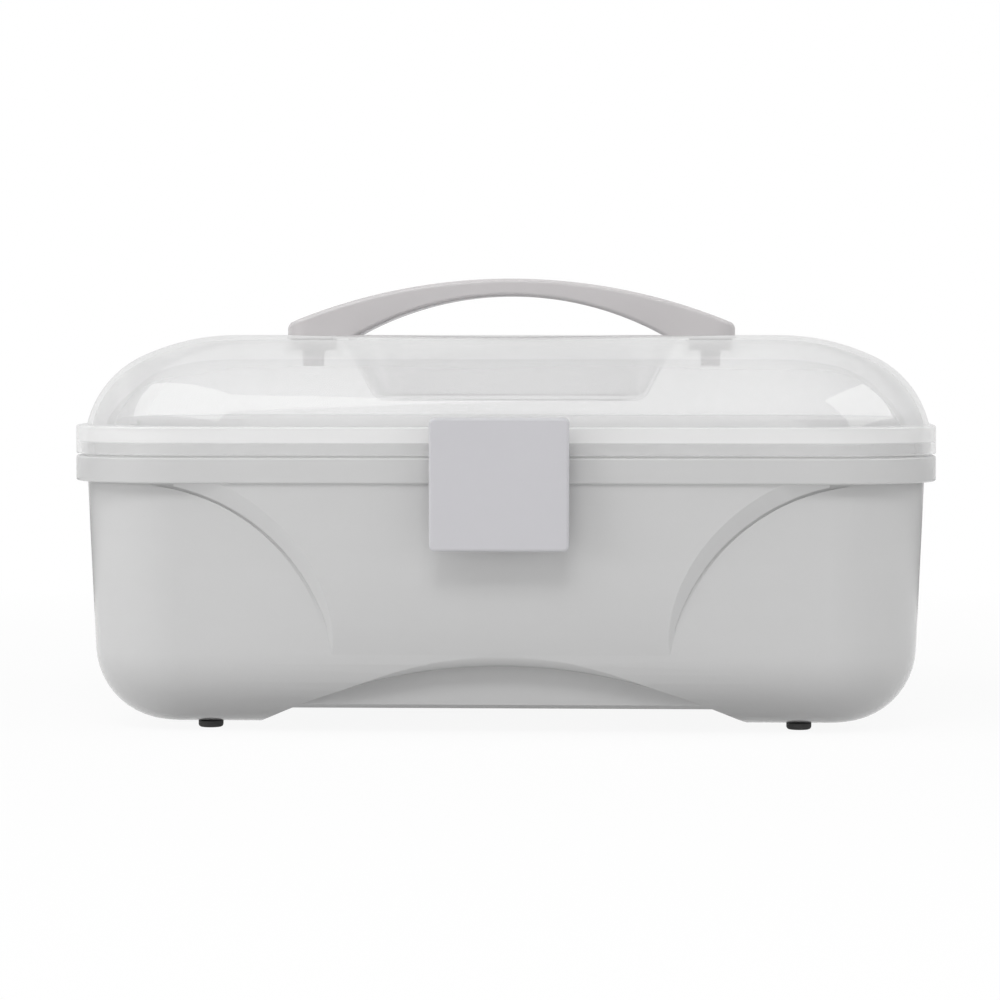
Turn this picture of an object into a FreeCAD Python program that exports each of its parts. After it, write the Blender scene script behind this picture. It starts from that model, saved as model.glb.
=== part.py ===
import FreeCAD, Part
import math
import os

# Household medicine box, in millimetres.
# An opaque tub stands on four rubber feet. A clear domed lid closes it, hinged at the back on two pins
# and held at the front by a square latch. A bowed carrying handle snaps into two sockets in the lid's
# crown, over a hand well. Inside, a compartment tray with two loose dividers rests on ribs of the tub.
# X is the long side, the front faces -Y and Z is up. The origin is on the table under the box's middle.

V = FreeCAD.Vector
EAST = V(1, 0, 0)
NORTH = V(0, 1, 0)
UP = V(0, 0, 1)
SIDES = (-1, 1)

# Driving dimensions.
# Plan of the rim, which the tub's band and the lid's flange share.
rim_length = 330.0
rim_width = 220.0
rim_corner = 42.0

# Heights above the table.
tub_bottom = 2.7
band_bottom = 95.1
band_top = 104.8
lip_top = 110.8
flange_top = 116.4
lid_top = 150.7

# Tub.
tub_wall = 2.4
band_overhang = 4.4
band_wall = 2.0
lip_inset = 2.9
lip_wall = 2.2
draft_angle = 2.5
bottom_round = 29.0
outer_round_steps = 4
inner_round_steps = 2

# Proud front and back panels between the scooped corners.
panel_inset = 1.2
panel_knee_height = 50.0
panel_knee_rise = 2.4
scoop_radius = 76.8
scoop_centre_x = 139.5
scoop_centre_z = 18.5
scoop_slope = 25.0
scoop_cut_depth = 9.0

# Arched foot recess under the front and back panels.
arch_radius = 200.0
arch_top = 25.9
arch_edge_round = 5.0
kick_half_width = 94.0
underside_height = 9.4

# Ribs inside the tub that carry the tray.
tray_seat = 66.0
rib_thickness = 2.4
rib_depth = 7.0
end_rib_y = 42.0
side_rib_x = 100.0

# Feet.
foot_from_end = 52.0
foot_from_side = 37.0
foot_radius = 4.8
foot_stem_radius = 2.0
foot_stem_reach = 1.6

# Lid.
lid_wall = 2.0
dome_inset = 1.2
dome_corner = 62.0
dome_lean = 13.6
dome_corner_least = 4.0
dome_crown_radius = 85.3
dome_shoulder_turn = 64.8
outer_dome_steps = 5
inner_dome_steps = 3
bearing_rib_wall = 1.8

# Hand well in the lid's crown.
well_half_length = 65.0
well_half_width = 36.0
well_depth = 24.0
well_slope = 27.0
well_corner = 18.0

# Handle and its sockets.
handle_half_length = 89.6
handle_width = 26.0
handle_rise = 22.5
handle_tip_rise = 4.4
handle_inner_half = 62.7
handle_thickness = 7.0
handle_end_round = 8.0
handle_edge_round = 1.8
handle_seat_depth = 1.2
tongue_length = 17.0
tongue_width = 16.0
tongue_x = 79.8
socket_depth = 6.2
hook_length = 7.5
hook_thickness = 2.2
hook_spacing = 9.0
hook_barb = 1.3
hook_barb_height = 4.0

# Latch.
latch_width = 52.2
latch_top = 120.4
latch_bottom = 70.4
latch_thickness = 3.0
latch_edge_round = 1.3
latch_corner = 2.0
latch_pin_radius = 1.2
latch_barrel_radius = 3.0
latch_lug_radius = 2.6
latch_lug_width = 4.5
latch_lug_x = 16.5
latch_rib_inset = 4.5
latch_rib_wall = 1.8
latch_hook_half = 22.0
latch_hook_height = 2.7
keeper_half = 20.0
keeper_height = 3.2
keeper_depth = 1.8

# Rear hinges.
hinge_x = 95.0
hinge_radius = 3.8
hinge_pin_radius = 1.5
knuckle_width = 12.0
knuckle_gap = 0.4

# Tray and its dividers.
tray_height = 32.0
tray_wall = 1.6
tray_corner_ease = 3.0
tray_gap = 1.8
tray_rim_reach = 0.8
tray_rim_height = 3.0
tray_spine_y = 14.0
tray_cross_x = 52.0
tray_wall_drop = 3.0
notch_radius = 13.0
divider_x = 56.0
divider_thickness = 1.6
rail_depth = 2.2
rail_thickness = 1.2

# Clearances.
running_fit = 0.06
seat_gap = 0.2
slot_gap = 0.3
latch_gap = 0.5
parting_gap = 0.8

# Sizes worked out from the ones above.
DRAFT = math.tan(math.radians(draft_angle))
HALF_LENGTH = rim_length / 2
HALF_WIDTH = rim_width / 2
SKIRT_BOTTOM = band_top + parting_gap
FLANGE_UNDERSIDE = flange_top - lid_wall
TRAY_BOTTOM = tray_seat + seat_gap
TRAY_TOP = TRAY_BOTTOM + tray_height
TRAY_FLOOR = TRAY_BOTTOM + tray_wall
SOCKET_FLOOR = lid_top - socket_depth
HANDLE_SEAT = lid_top - handle_seat_depth
HANDLE_APEX = lid_top + handle_rise
HANDLE_TIP = lid_top + handle_tip_rise
HINGE_Y = HALF_WIDTH + hinge_radius + knuckle_gap
HINGE_Z = (band_top + SKIRT_BOTTOM) / 2
LATCH_Y = -(HALF_WIDTH + latch_barrel_radius + seat_gap)
LATCH_Z = flange_top - latch_lug_radius + latch_thickness / 2
PLATE_BACK = LATCH_Y - latch_barrel_radius
BEYOND = rim_length + rim_width


# Drawing helpers.
def arc_edge(first, middle, last):
    return Part.Arc(first, middle, last).toShape()


def plan_loop(half_length, half_width, corner, height):
    """Closed level outline of a rectangle with round corners."""
    centre_x = half_length - corner
    centre_y = half_width - corner
    quarter = math.pi / 2
    centres = [(centre_x, -centre_y), (centre_x, centre_y), (-centre_x, centre_y), (-centre_x, -centre_y)]
    arcs = []
    for turn, (x, y) in enumerate(centres):
        angles = [quarter * (turn + share) for share in (-1, -0.5, 0)]
        arcs.append([V(x + corner * math.cos(a), y + corner * math.sin(a), height) for a in angles])
    edges = []
    for turn, points in enumerate(arcs):
        edges.append(arc_edge(*points))
        edges.append(Part.makeLine(points[-1], arcs[(turn + 1) % 4][0]))
    return Part.Wire(edges)


def rim_loop(inset, height):
    """The rim's outline taken inwards by an even distance."""
    return plan_loop(HALF_LENGTH - inset, HALF_WIDTH - inset, rim_corner - inset, height)


def loft(loops):
    return Part.makeLoft(loops, True, True)


def rim_slab(inset, low, high):
    return loft([rim_loop(inset, low), rim_loop(inset, high)])


def rim_ring(outer, inner, low, high):
    """A wall that follows the rim, between two insets."""
    return rim_slab(outer, low, high).cut(rim_slab(inner, low - 1, high + 1))


def block(x_range, y_range, z_range):
    size = [pair[1] - pair[0] for pair in (x_range, y_range, z_range)]
    return Part.makeBox(*size, V(x_range[0], y_range[0], z_range[0]))


def centred_block(x, y, half_x, half_y, z_range):
    return block((x - half_x, x + half_x), (y - half_y, y + half_y), z_range)


def cross_bar(points, x_range):
    """A bar along X whose section is given as (y, z) corners."""
    corners = [V(x_range[0], y, z) for y, z in points]
    face = Part.Face(Part.makePolygon(corners + corners[:1]))
    return face.extrude(V(x_range[1] - x_range[0], 0, 0))


def rod_x(y, z, radius, x_range):
    return Part.makeCylinder(radius, x_range[1] - x_range[0], V(x_range[0], y, z), EAST)


def rounded_block(x, y, half_x, half_y, corner, z_range):
    """An upright block with its four upright edges rounded."""
    solid = centred_block(x, y, half_x, half_y, z_range)
    upright = [edge for edge in solid.Edges if edge.BoundBox.ZLength > 0.9 * (z_range[1] - z_range[0])]
    return solid.makeFillet(min(corner, 0.95 * half_x, 0.95 * half_y), upright)


def joined(first, *others):
    return first.fuse(list(others)).removeSplitter()


def tangent_point(y, z, centre_y, centre_z, radius, side):
    """Where the line from (y, z) touches a circle in the YZ plane, on the side given by its sign."""
    reach = math.hypot(centre_y - y, centre_z - z)
    heading = math.atan2(centre_z - z, centre_y - y)
    opening = side * math.asin(radius / reach)
    run = math.sqrt(reach**2 - radius**2)
    return y + run * math.cos(heading + opening), z + run * math.sin(heading + opening)


# Tub.
def wall_inset(height):
    """How far the drafted wall lies inside the rim at a height."""
    return band_overhang + (band_bottom - height) * DRAFT


def tub_form(inset, top, steps):
    """The tub's drafted body with its rounded underside, taken inwards by a wall."""
    last_turn = math.radians(90 - draft_angle)
    low = tub_bottom + inset
    radius = bottom_round - inset
    knee_inset = wall_inset(low + radius * (1 - math.cos(last_turn))) + inset
    loops = []
    for step in range(steps + 1):
        turn = last_turn * step / steps
        tuck = radius * (math.sin(last_turn) - math.sin(turn))
        loops.append(rim_loop(knee_inset + tuck, low + radius * (1 - math.cos(turn))))
    return loft(loops + [rim_loop(wall_inset(top) + inset, top)])


def panel_form(inset, top):
    """The proud middle panels, front and back, as one prism through the tub."""
    spring = tub_bottom + bottom_round * (1 - math.sin(math.radians(draft_angle)))
    heights = [spring, panel_knee_height, band_bottom]
    rises = [0, panel_knee_rise, wall_inset(band_bottom) - panel_inset]
    line = []
    for height, rise in zip(heights, rises):
        line.append((HALF_WIDTH - wall_inset(height) + rise - inset, height))
    (y_low, low), (y_knee, knee), (y_top, high) = line
    low_slope = (y_knee - y_low) / (knee - low)
    top_slope = (y_top - y_knee) / (high - knee)
    line[0] = (y_low - low_slope * tub_wall, low - tub_wall)
    line[-1] = (y_top + top_slope * (top - high), top)
    section = line + [(-y, z) for y, z in reversed(line)]
    straight = HALF_LENGTH - rim_corner
    panel = cross_bar(section, (-straight, straight))
    slope = math.radians(scoop_slope)
    radius = scoop_radius + inset * math.tan(slope / 2)
    flare = scoop_cut_depth / math.tan(slope)
    wall_y = HALF_WIDTH - wall_inset(scoop_centre_z) - inset
    for side in SIDES:
        for face in SIDES:
            centre = V(side * scoop_centre_x, face * wall_y, scoop_centre_z)
            lean = math.radians(draft_angle)
            outwards = V(0, face * math.cos(lean), -math.sin(lean))
            start = centre - outwards * scoop_cut_depth
            cone = Part.makeCone(radius - flare, radius + flare, 2 * scoop_cut_depth, start, outwards)
            panel = panel.cut(cone)
    return panel


def arch_recess(grow, face):
    """The arched recess under a panel. Its upper edge flares out to the face as a round."""
    radius = arch_radius + grow
    centre_z = arch_top - arch_radius
    back = kick_half_width - grow
    surface = HALF_WIDTH - wall_inset(arch_top + arch_edge_round)
    outside = HALF_WIDTH + band_overhang
    lowest = radius / 2

    def at(y, height):
        return V(0, y, centre_z + height)

    corners = [at(outside, lowest), at(back, lowest), at(back, radius)]
    if grow:
        corners.append(at(outside, radius))
    else:
        bend = arch_edge_round * (1 - math.sqrt(0.5))
        top = radius + arch_edge_round
        corners.append(at(surface - arch_edge_round, radius))
        corners.append(at(surface - bend, radius + bend))
        corners += [at(surface, top), at(outside, top)]
    profile = Part.Face(Part.makePolygon(corners + corners[:1]))
    profile.rotate(V(0, 0, centre_z), NORTH, -90)
    ring = profile.revolve(V(0, 0, centre_z), NORTH, 180)
    if ring.Volume < 0:
        ring.reverse()
    if face < 0:
        ring.rotate(V(0, 0, 0), UP, 180)
    return ring


def underside_channel(grow):
    """The raised underside between the two pairs of feet."""
    radius = arch_radius + grow
    centre_z = arch_top - arch_radius
    ends = [V(side * radius * math.sin(1), -BEYOND, centre_z + radius * math.cos(1)) for side in SIDES]
    arc = arc_edge(ends[0], V(0, -BEYOND, centre_z + radius), ends[1])
    face = Part.Face(Part.Wire([arc, Part.makeLine(ends[1], ends[0])]))
    slab = block((-BEYOND, BEYOND), (-BEYOND, BEYOND), (-BEYOND, underside_height + grow))
    return face.extrude(V(0, 2 * BEYOND, 0)).common(slab)


def underside_cutter(grow):
    """All that is cut away under the tub, or the same taken inwards by a wall."""
    return underside_channel(grow).fuse([arch_recess(grow, face) for face in SIDES])


def tub_ribs():
    """Upright ribs on the tub's walls, level at the top, that carry the tray."""
    ribs = []
    inner = wall_inset(tray_seat) + tub_wall
    end_x = HALF_LENGTH - inner - rib_depth
    side_y = HALF_WIDTH - inner - rib_depth
    heights = (tub_bottom, tray_seat)
    for side in SIDES:
        for face in SIDES:
            at_y = face * end_rib_y
            x_range = sorted((side * end_x, side * HALF_LENGTH))
            ribs.append(block(x_range, (at_y - rib_thickness / 2, at_y + rib_thickness / 2), heights))
            at_x = side * side_rib_x
            y_range = sorted((face * side_y, face * HALF_WIDTH))
            ribs.append(block((at_x - rib_thickness / 2, at_x + rib_thickness / 2), y_range, heights))
    return ribs


def tub_hinge_knuckles():
    """Two outer knuckles at each hinge, on the back of the band, bored for the pin."""
    foot_z = band_bottom + seat_gap
    touch = tangent_point(HALF_WIDTH, foot_z, HINGE_Y, HINGE_Z, hinge_radius, -1)
    web = [
        (HALF_WIDTH - band_wall, foot_z),
        (HALF_WIDTH, foot_z),
        touch,
        (HINGE_Y, HINGE_Z),
        (HALF_WIDTH, band_top - seat_gap),
        (HALF_WIDTH - band_wall, band_top - seat_gap),
    ]
    knuckles = []
    for side in SIDES:
        for end in SIDES:
            near = side * hinge_x + end * (knuckle_width / 2 + knuckle_gap)
            far = near + end * knuckle_width
            x_range = sorted((near, far))
            knuckles.append(cross_bar(web, x_range))
            knuckles.append(rod_x(HINGE_Y, HINGE_Z, hinge_radius, x_range))
    return knuckles


def hinge_bore(radius, side):
    reach = 2 * knuckle_width
    return rod_x(HINGE_Y, HINGE_Z, radius, (side * hinge_x - reach, side * hinge_x + reach))


def foot_places():
    names = {(-1, -1): "front_left", (1, -1): "front_right", (-1, 1): "rear_left", (1, 1): "rear_right"}
    foot_x = HALF_LENGTH - foot_from_end
    foot_y = HALF_WIDTH - foot_from_side
    return {name: V(side * foot_x, face * foot_y, 0) for (side, face), name in names.items()}


def base_tub():
    outer = tub_form(0, band_top, outer_round_steps).fuse(panel_form(0, band_top))
    body = outer.cut(underside_cutter(0))
    cavity = tub_form(tub_wall, lip_top, inner_round_steps).fuse(panel_form(tub_wall, band_bottom))
    cavity = cavity.cut(underside_cutter(tub_wall)).cut(tub_ribs())
    shelf_low = band_top - band_wall
    band = rim_ring(0, band_overhang + tub_wall, band_bottom, band_top)
    groove = rim_ring(band_wall, band_overhang, band_bottom - 1, shelf_low)
    lip = rim_ring(lip_inset, lip_inset + lip_wall, shelf_low, lip_top)
    keeper = block(
        (-keeper_half, keeper_half),
        (-HALF_WIDTH - keeper_depth, -HALF_WIDTH + band_wall),
        (band_bottom, band_bottom + keeper_height),
    )
    rim = band.cut(groove).fuse([lip, keeper] + tub_hinge_knuckles()).cut(cavity)
    rim = rim.cut([hinge_bore(hinge_pin_radius, side) for side in SIDES]).removeSplitter()
    hole_radius = foot_stem_radius + running_fit
    hole_depth = tub_bottom + 2 * tub_wall
    holes = [Part.makeCylinder(hole_radius, hole_depth, place, UP) for place in foot_places().values()]
    return body.cut(cavity).cut(holes).removeSplitter().fuse(rim)


def rubber_foot(place):
    """Round pad whose stem is pushed through the tub's floor."""
    pad = Part.makeCylinder(foot_radius, tub_bottom - seat_gap / 2, place, UP)
    stem = Part.makeCylinder(foot_stem_radius, tub_bottom + tub_wall + foot_stem_reach, place, UP)
    return joined(pad, stem)


def hinge_pin(side):
    reach = 1.5 * knuckle_width
    return rod_x(HINGE_Y, HINGE_Z, hinge_pin_radius, (side * hinge_x - reach, side * hinge_x + reach))


# Lid.
def shoulder_radius():
    """Radius of the dome's lower curve, which leaves the crown level exactly at the lid's top."""
    lean = math.radians(dome_lean)
    turn = math.radians(dome_shoulder_turn)
    crown_rise = dome_crown_radius * (1 - math.sin(turn))
    return (lid_top - flange_top - crown_rise) / (math.sin(turn) - math.sin(lean))


def dome_point(angle):
    """Inset and height of the dome's side where its slope has turned to an angle in degrees."""
    lean = math.radians(dome_lean)
    turn = math.radians(dome_shoulder_turn)
    here = math.radians(angle)
    lower = min(here, turn)
    inset = shoulder_radius() * (math.cos(lean) - math.cos(lower))
    height = shoulder_radius() * (math.sin(lower) - math.sin(lean))
    if here > turn:
        inset += dome_crown_radius * (math.cos(turn) - math.cos(here))
        height += dome_crown_radius * (math.sin(here) - math.sin(turn))
    return inset, height


def dome_loop(inset, height):
    """The dome's foot outline taken inwards by an even distance."""
    level = dome_inset + inset
    corner = max(dome_corner - inset, dome_corner_least)
    return plan_loop(HALF_LENGTH - level, HALF_WIDTH - level, corner, height)


def dome_form(wall, steps):
    """The lid's dome, or its hollow when a wall is given."""
    loops = []
    for step in range(steps + 1):
        angle = dome_lean + (90 - dome_lean) * step / steps
        slope = math.radians(angle)
        inset, height = dome_point(angle)
        loops.append(dome_loop(inset + wall * math.cos(slope), flange_top + height - wall * math.sin(slope)))
    return loft(loops)


def hand_well(grow, high):
    """The well under the handle: a tapered basin with round corners."""
    spread = math.tan(math.radians(well_slope))

    def section(height):
        level = (lid_top - height) * spread - grow
        return plan_loop(well_half_length - level, well_half_width - level, well_corner - level, height)

    return loft([section(lid_top - well_depth - grow), section(high)])


def handle_sockets(half_x, half_y, low, high):
    """A pair of upright blocks where the handle's tongues go into the crown."""
    return [centred_block(side * tongue_x, 0, half_x, half_y, (low, high)) for side in SIDES]


def handle_pads(grow, low, high):
    """The stretch of crown under both ends of the handle, following their round outline."""
    margin = slot_gap + grow
    half_y = handle_width / 2 + margin
    plan = rounded_block(0, 0, handle_half_length + margin, half_y, handle_end_round + grow, (low, high))
    return plan.cut(centred_block(0, 0, handle_inner_half - margin, rim_width, (low, high)))


def lid_hinge_knuckles():
    """The middle knuckle of each hinge, hung from the lid's skirt."""
    root_z = flange_top - lid_wall
    low_z = SKIRT_BOTTOM + seat_gap
    touch = tangent_point(HALF_WIDTH, root_z, HINGE_Y, HINGE_Z, hinge_radius, 1)
    web = [
        (HALF_WIDTH - lid_wall, root_z),
        (HALF_WIDTH, root_z),
        touch,
        (HINGE_Y, HINGE_Z),
        (HALF_WIDTH, low_z),
        (HALF_WIDTH - lid_wall, low_z),
    ]
    knuckles = []
    for side in SIDES:
        x_range = (side * hinge_x - knuckle_width / 2, side * hinge_x + knuckle_width / 2)
        knuckles.append(cross_bar(web, x_range))
        knuckles.append(rod_x(HINGE_Y, HINGE_Z, hinge_radius, x_range))
    return knuckles


def latch_lugs():
    """Two lugs on the front of the flange that hold the latch's pin."""
    touch = tangent_point(-HALF_WIDTH, SKIRT_BOTTOM + lid_wall, LATCH_Y, LATCH_Z, latch_lug_radius, 1)
    web = [
        (-HALF_WIDTH + lid_wall, SKIRT_BOTTOM + lid_wall),
        (-HALF_WIDTH, SKIRT_BOTTOM + lid_wall),
        touch,
        (LATCH_Y, LATCH_Z),
        (-HALF_WIDTH, flange_top),
        (-HALF_WIDTH + lid_wall, flange_top),
    ]
    lugs = []
    for side in SIDES:
        middle = side * latch_lug_x
        x_range = (middle - latch_lug_width / 2, middle + latch_lug_width / 2)
        lugs.append(cross_bar(web, x_range))
        lugs.append(rod_x(LATCH_Y, LATCH_Z, latch_lug_radius, x_range))
    return lugs


def lid():
    dome = dome_form(0, outer_dome_steps)
    hollow = dome_form(lid_wall, inner_dome_steps)
    seat_low = HANDLE_SEAT - seat_gap
    half_x = tongue_length / 2 + slot_gap
    half_y = tongue_width / 2 + slot_gap
    slot_x = hook_length / 2 + slot_gap
    slot_y = hook_spacing / 2 + hook_thickness / 2 + hook_barb / 2 + slot_gap
    solids = [hand_well(lid_wall, lid_top).common(dome)]
    solids.append(handle_pads(lid_wall, seat_low - lid_wall, lid_top - lid_wall / 2).common(dome))
    solids += handle_sockets(half_x + lid_wall, half_y + lid_wall, SOCKET_FLOOR - lid_wall, seat_low)
    cuts = [hand_well(0, lid_top + lid_wall)]
    cuts.append(handle_pads(0, seat_low, lid_top + lid_wall))
    cuts += handle_sockets(half_x, half_y, SOCKET_FLOOR, HANDLE_SEAT)
    cuts += handle_sockets(slot_x, slot_y, SOCKET_FLOOR - 2 * lid_wall, SOCKET_FLOOR + 1)
    flange = rim_slab(0, SKIRT_BOTTOM, flange_top)
    skirt_inside = rim_slab(lid_wall, SKIRT_BOTTOM - 1, FLANGE_UNDERSIDE)
    rib_outer = lip_inset + (lip_wall - bearing_rib_wall) / 2
    bearing_rib = rim_ring(rib_outer, rib_outer + bearing_rib_wall, lip_top + slot_gap, FLANGE_UNDERSIDE)
    mouth = rim_slab(rib_outer + bearing_rib_wall, SKIRT_BOTTOM - 1, FLANGE_UNDERSIDE)
    opening = dome_loop(lid_wall / math.cos(math.radians(dome_lean)), FLANGE_UNDERSIDE - 1)
    throat = Part.Face(opening).extrude(V(0, 0, lid_wall + 1))
    rim = flange.cut(skirt_inside).fuse(bearing_rib).cut(throat)
    shell = rim.fuse([dome.cut(hollow).cut(throat)] + lid_hinge_knuckles() + latch_lugs())
    body = shell.fuse(solids).cut(mouth)
    for cut in cuts:
        body = body.cut(cut)
    for side in SIDES:
        body = body.cut(hinge_bore(hinge_pin_radius + running_fit, side))
    reach = latch_lug_x + latch_lug_width
    body = body.cut(rod_x(LATCH_Y, LATCH_Z, latch_pin_radius, (-reach, reach)))
    return body.removeSplitter()


# Handle.
def handle():
    tip = handle_half_length
    inner = handle_inner_half
    start = V(-tip, 0, HANDLE_TIP)
    end = V(tip, 0, HANDLE_TIP)
    edges = [
        arc_edge(start, V(0, 0, HANDLE_APEX), end),
        Part.makeLine(end, V(tip, 0, HANDLE_SEAT)),
        Part.makeLine(V(tip, 0, HANDLE_SEAT), V(inner, 0, HANDLE_SEAT)),
        arc_edge(V(inner, 0, HANDLE_SEAT), V(0, 0, HANDLE_APEX - handle_thickness), V(-inner, 0, HANDLE_SEAT)),
        Part.makeLine(V(-inner, 0, HANDLE_SEAT), V(-tip, 0, HANDLE_SEAT)),
        Part.makeLine(V(-tip, 0, HANDLE_SEAT), start),
    ]
    profile = Part.Face(Part.Wire(edges))
    profile.translate(V(0, -handle_width / 2, 0))
    strap = profile.extrude(V(0, handle_width, 0))
    plan = rounded_block(0, 0, tip, handle_width / 2, handle_end_round, (SOCKET_FLOOR, HANDLE_APEX + 1))
    strap = strap.common(plan)
    bow_edges = []
    for edge in strap.Edges:
        box = edge.BoundBox
        if box.ZMin > HANDLE_SEAT + 0.1 and box.XLength > 1:
            bow_edges.append(edge)
    strap = strap.makeChamfer(handle_edge_round, bow_edges)
    pieces = []
    for side in SIDES:
        x = side * tongue_x
        tongue_low = SOCKET_FLOOR + seat_gap
        pieces.append(centred_block(x, 0, tongue_length / 2, tongue_width / 2, (tongue_low, HANDLE_SEAT + 1)))
        for face in SIDES:
            pieces.append(handle_hook(x, face))
    return joined(strap, *pieces)


def handle_hook(x, face):
    """A springy leg through the socket's floor, with a barb that catches under it."""
    inner = hook_spacing / 2 - hook_thickness / 2
    outer = hook_spacing / 2 + hook_thickness / 2
    catch = SOCKET_FLOOR - lid_wall - seat_gap
    tip = catch - hook_barb_height
    section = [
        (face * inner, SOCKET_FLOOR + 1),
        (face * outer, SOCKET_FLOOR + 1),
        (face * outer, catch),
        (face * (outer + hook_barb), catch),
        (face * outer, tip),
        (face * inner, tip),
    ]
    return cross_bar(section, (x - hook_length / 2, x + hook_length / 2))


# Latch.
def latch():
    half = latch_width / 2
    back = PLATE_BACK
    plate = block((-half, half), (back - latch_thickness, back), (latch_bottom, latch_top))
    upright = [edge for edge in plate.Edges if edge.BoundBox.YLength > latch_thickness / 2]
    plate = plate.makeFillet(latch_corner, upright)
    front = [edge for edge in plate.Edges if edge.BoundBox.YMax < back - latch_thickness / 2]
    plate = plate.makeChamfer(latch_edge_round, front)
    barrel_half = latch_lug_x - latch_lug_width / 2 - slot_gap
    barrel = rod_x(LATCH_Y, LATCH_Z, latch_barrel_radius, (-barrel_half, barrel_half))
    neck = block(
        (-barrel_half, barrel_half),
        (back - latch_thickness / 2, LATCH_Y),
        (LATCH_Z - latch_barrel_radius, LATCH_Z),
    )
    rib_front = back - latch_thickness / 2
    rib_back = -HALF_WIDTH - seat_gap
    low = latch_bottom + latch_rib_inset
    high = LATCH_Z - latch_lug_radius - latch_rib_inset
    outer = half - latch_rib_inset
    inner = outer - latch_rib_wall
    ribs = [block(sorted((side * inner, side * outer)), (rib_front, rib_back), (low, high)) for side in SIDES]
    ribs.append(block((-outer, outer), (rib_front, rib_back), (low, low + latch_rib_wall)))
    relief_high = band_bottom + keeper_height + latch_gap
    ribs.append(
        block((-outer, outer), (rib_front, rib_back), (relief_high, relief_high + latch_rib_wall))
    )
    hook_high = band_bottom - latch_gap
    hook_tip = -HALF_WIDTH + latch_gap
    hook = cross_bar(
        [
            (rib_front, hook_high - 2 * latch_hook_height),
            (back, hook_high - 2 * latch_hook_height),
            (hook_tip, hook_high - latch_hook_height),
            (hook_tip, hook_high),
            (rib_front, hook_high),
        ],
        (-latch_hook_half, latch_hook_half),
    )
    body = joined(plate, barrel, neck, hook, *ribs)
    keeper_room = block(
        (-keeper_half - latch_gap, keeper_half + latch_gap),
        (-HALF_WIDTH - keeper_depth - latch_gap, 0),
        (hook_high, relief_high),
    )
    reach = latch_lug_x
    bore = rod_x(LATCH_Y, LATCH_Z, latch_pin_radius + running_fit, (-reach, reach))
    return body.cut(keeper_room).cut(bore).removeSplitter()


def latch_pin():
    reach = latch_lug_x + latch_lug_width / 2
    return rod_x(LATCH_Y, LATCH_Z, latch_pin_radius, (-reach, reach))


# Tray.
def tray_loop(inset, height):
    return rim_loop(wall_inset(height) + tub_wall + tray_gap + inset, height)


def tray_body(inset, low, high):
    """The tray's drafted body, or its hollow, with an eased bottom edge."""
    ease = tray_corner_ease - inset / 2
    return loft([tray_loop(inset + ease, low), tray_loop(inset, low + ease), tray_loop(inset, high)])


def tray_front_y(height):
    """Inner face of the tray's front wall at a height."""
    return -(HALF_WIDTH - wall_inset(height) - tub_wall - tray_gap - tray_wall)


def inner_tray():
    body = tray_body(0, TRAY_BOTTOM, TRAY_TOP)
    hollow = tray_body(tray_wall, TRAY_FLOOR, TRAY_TOP + 1)
    rim_low = TRAY_TOP - tray_rim_height
    rim = loft([tray_loop(-tray_rim_reach, rim_low), tray_loop(-tray_rim_reach, TRAY_TOP)])
    inner_top = TRAY_TOP - tray_wall_drop
    spine = block(
        (-BEYOND, BEYOND),
        (tray_spine_y, tray_spine_y + tray_wall),
        (TRAY_FLOOR, inner_top),
    )
    walls = [spine]
    for side in SIDES:
        x = side * tray_cross_x
        walls.append(
            block((x - tray_wall / 2, x + tray_wall / 2), (tray_spine_y, BEYOND), (TRAY_FLOOR, inner_top))
        )
        walls += divider_rails(side * divider_x, inner_top)
    inside = [wall.common(hollow) for wall in walls]
    tray = body.fuse(rim).cut(hollow).fuse(inside)
    notch_z = TRAY_TOP
    notches = Part.makeCylinder(notch_radius, 2 * BEYOND, V(-BEYOND, 0, notch_z), EAST)
    ends = HALF_LENGTH - wall_inset(TRAY_TOP) - tub_wall - tray_gap - 2 * tray_wall - tray_corner_ease
    keep = block((-ends, ends), (-BEYOND, BEYOND), (0, TRAY_TOP + BEYOND))
    return tray.cut(notches.cut(keep)).removeSplitter()


def divider_rails(x, high):
    """Four upright rails that hold a divider's two edges."""
    rails = []
    slot_half = divider_thickness / 2 + slot_gap
    front = tray_front_y(TRAY_FLOOR)
    for side in SIDES:
        x_range = sorted((x + side * slot_half, x + side * (slot_half + rail_thickness)))
        rails.append(block(x_range, (-BEYOND, front + rail_depth), (TRAY_FLOOR, high)))
        rails.append(block(x_range, (tray_spine_y - rail_depth, tray_spine_y), (TRAY_FLOOR, high)))
    return rails


def tray_divider(side):
    """A loose plate across the tray's front row, with a thumb notch in its top edge."""
    x = side * divider_x
    low = TRAY_FLOOR + seat_gap
    high = TRAY_TOP - tray_wall_drop
    lift = tray_corner_ease - tray_wall / 2
    front_low = tray_front_y(low) + slot_gap
    front_high = tray_front_y(high) + slot_gap
    back = tray_spine_y - slot_gap
    section = [
        (front_low + lift, low),
        (back, low),
        (back, high),
        (front_high, high),
        (tray_front_y(low + lift) + slot_gap, low + lift),
    ]
    x_range = (x - divider_thickness / 2, x + divider_thickness / 2)
    plate = cross_bar(section, x_range)
    notch = rod_x((front_high + back) / 2, high + notch_radius / 2, notch_radius, x_range)
    return plate.cut(notch)


def export(shape, name):
    solids = shape.Solids
    result = solids[0] if len(solids) == 1 else Part.makeCompound(solids)
    result.exportStep("parts/" + name + ".step")
    box = result.BoundBox
    size = "%.1f x %.1f x %.1f" % (box.XLength, box.YLength, box.ZLength)
    print("%-24s solids %d  valid %s  %s" % (name, len(solids), result.isValid(), size))


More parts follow.
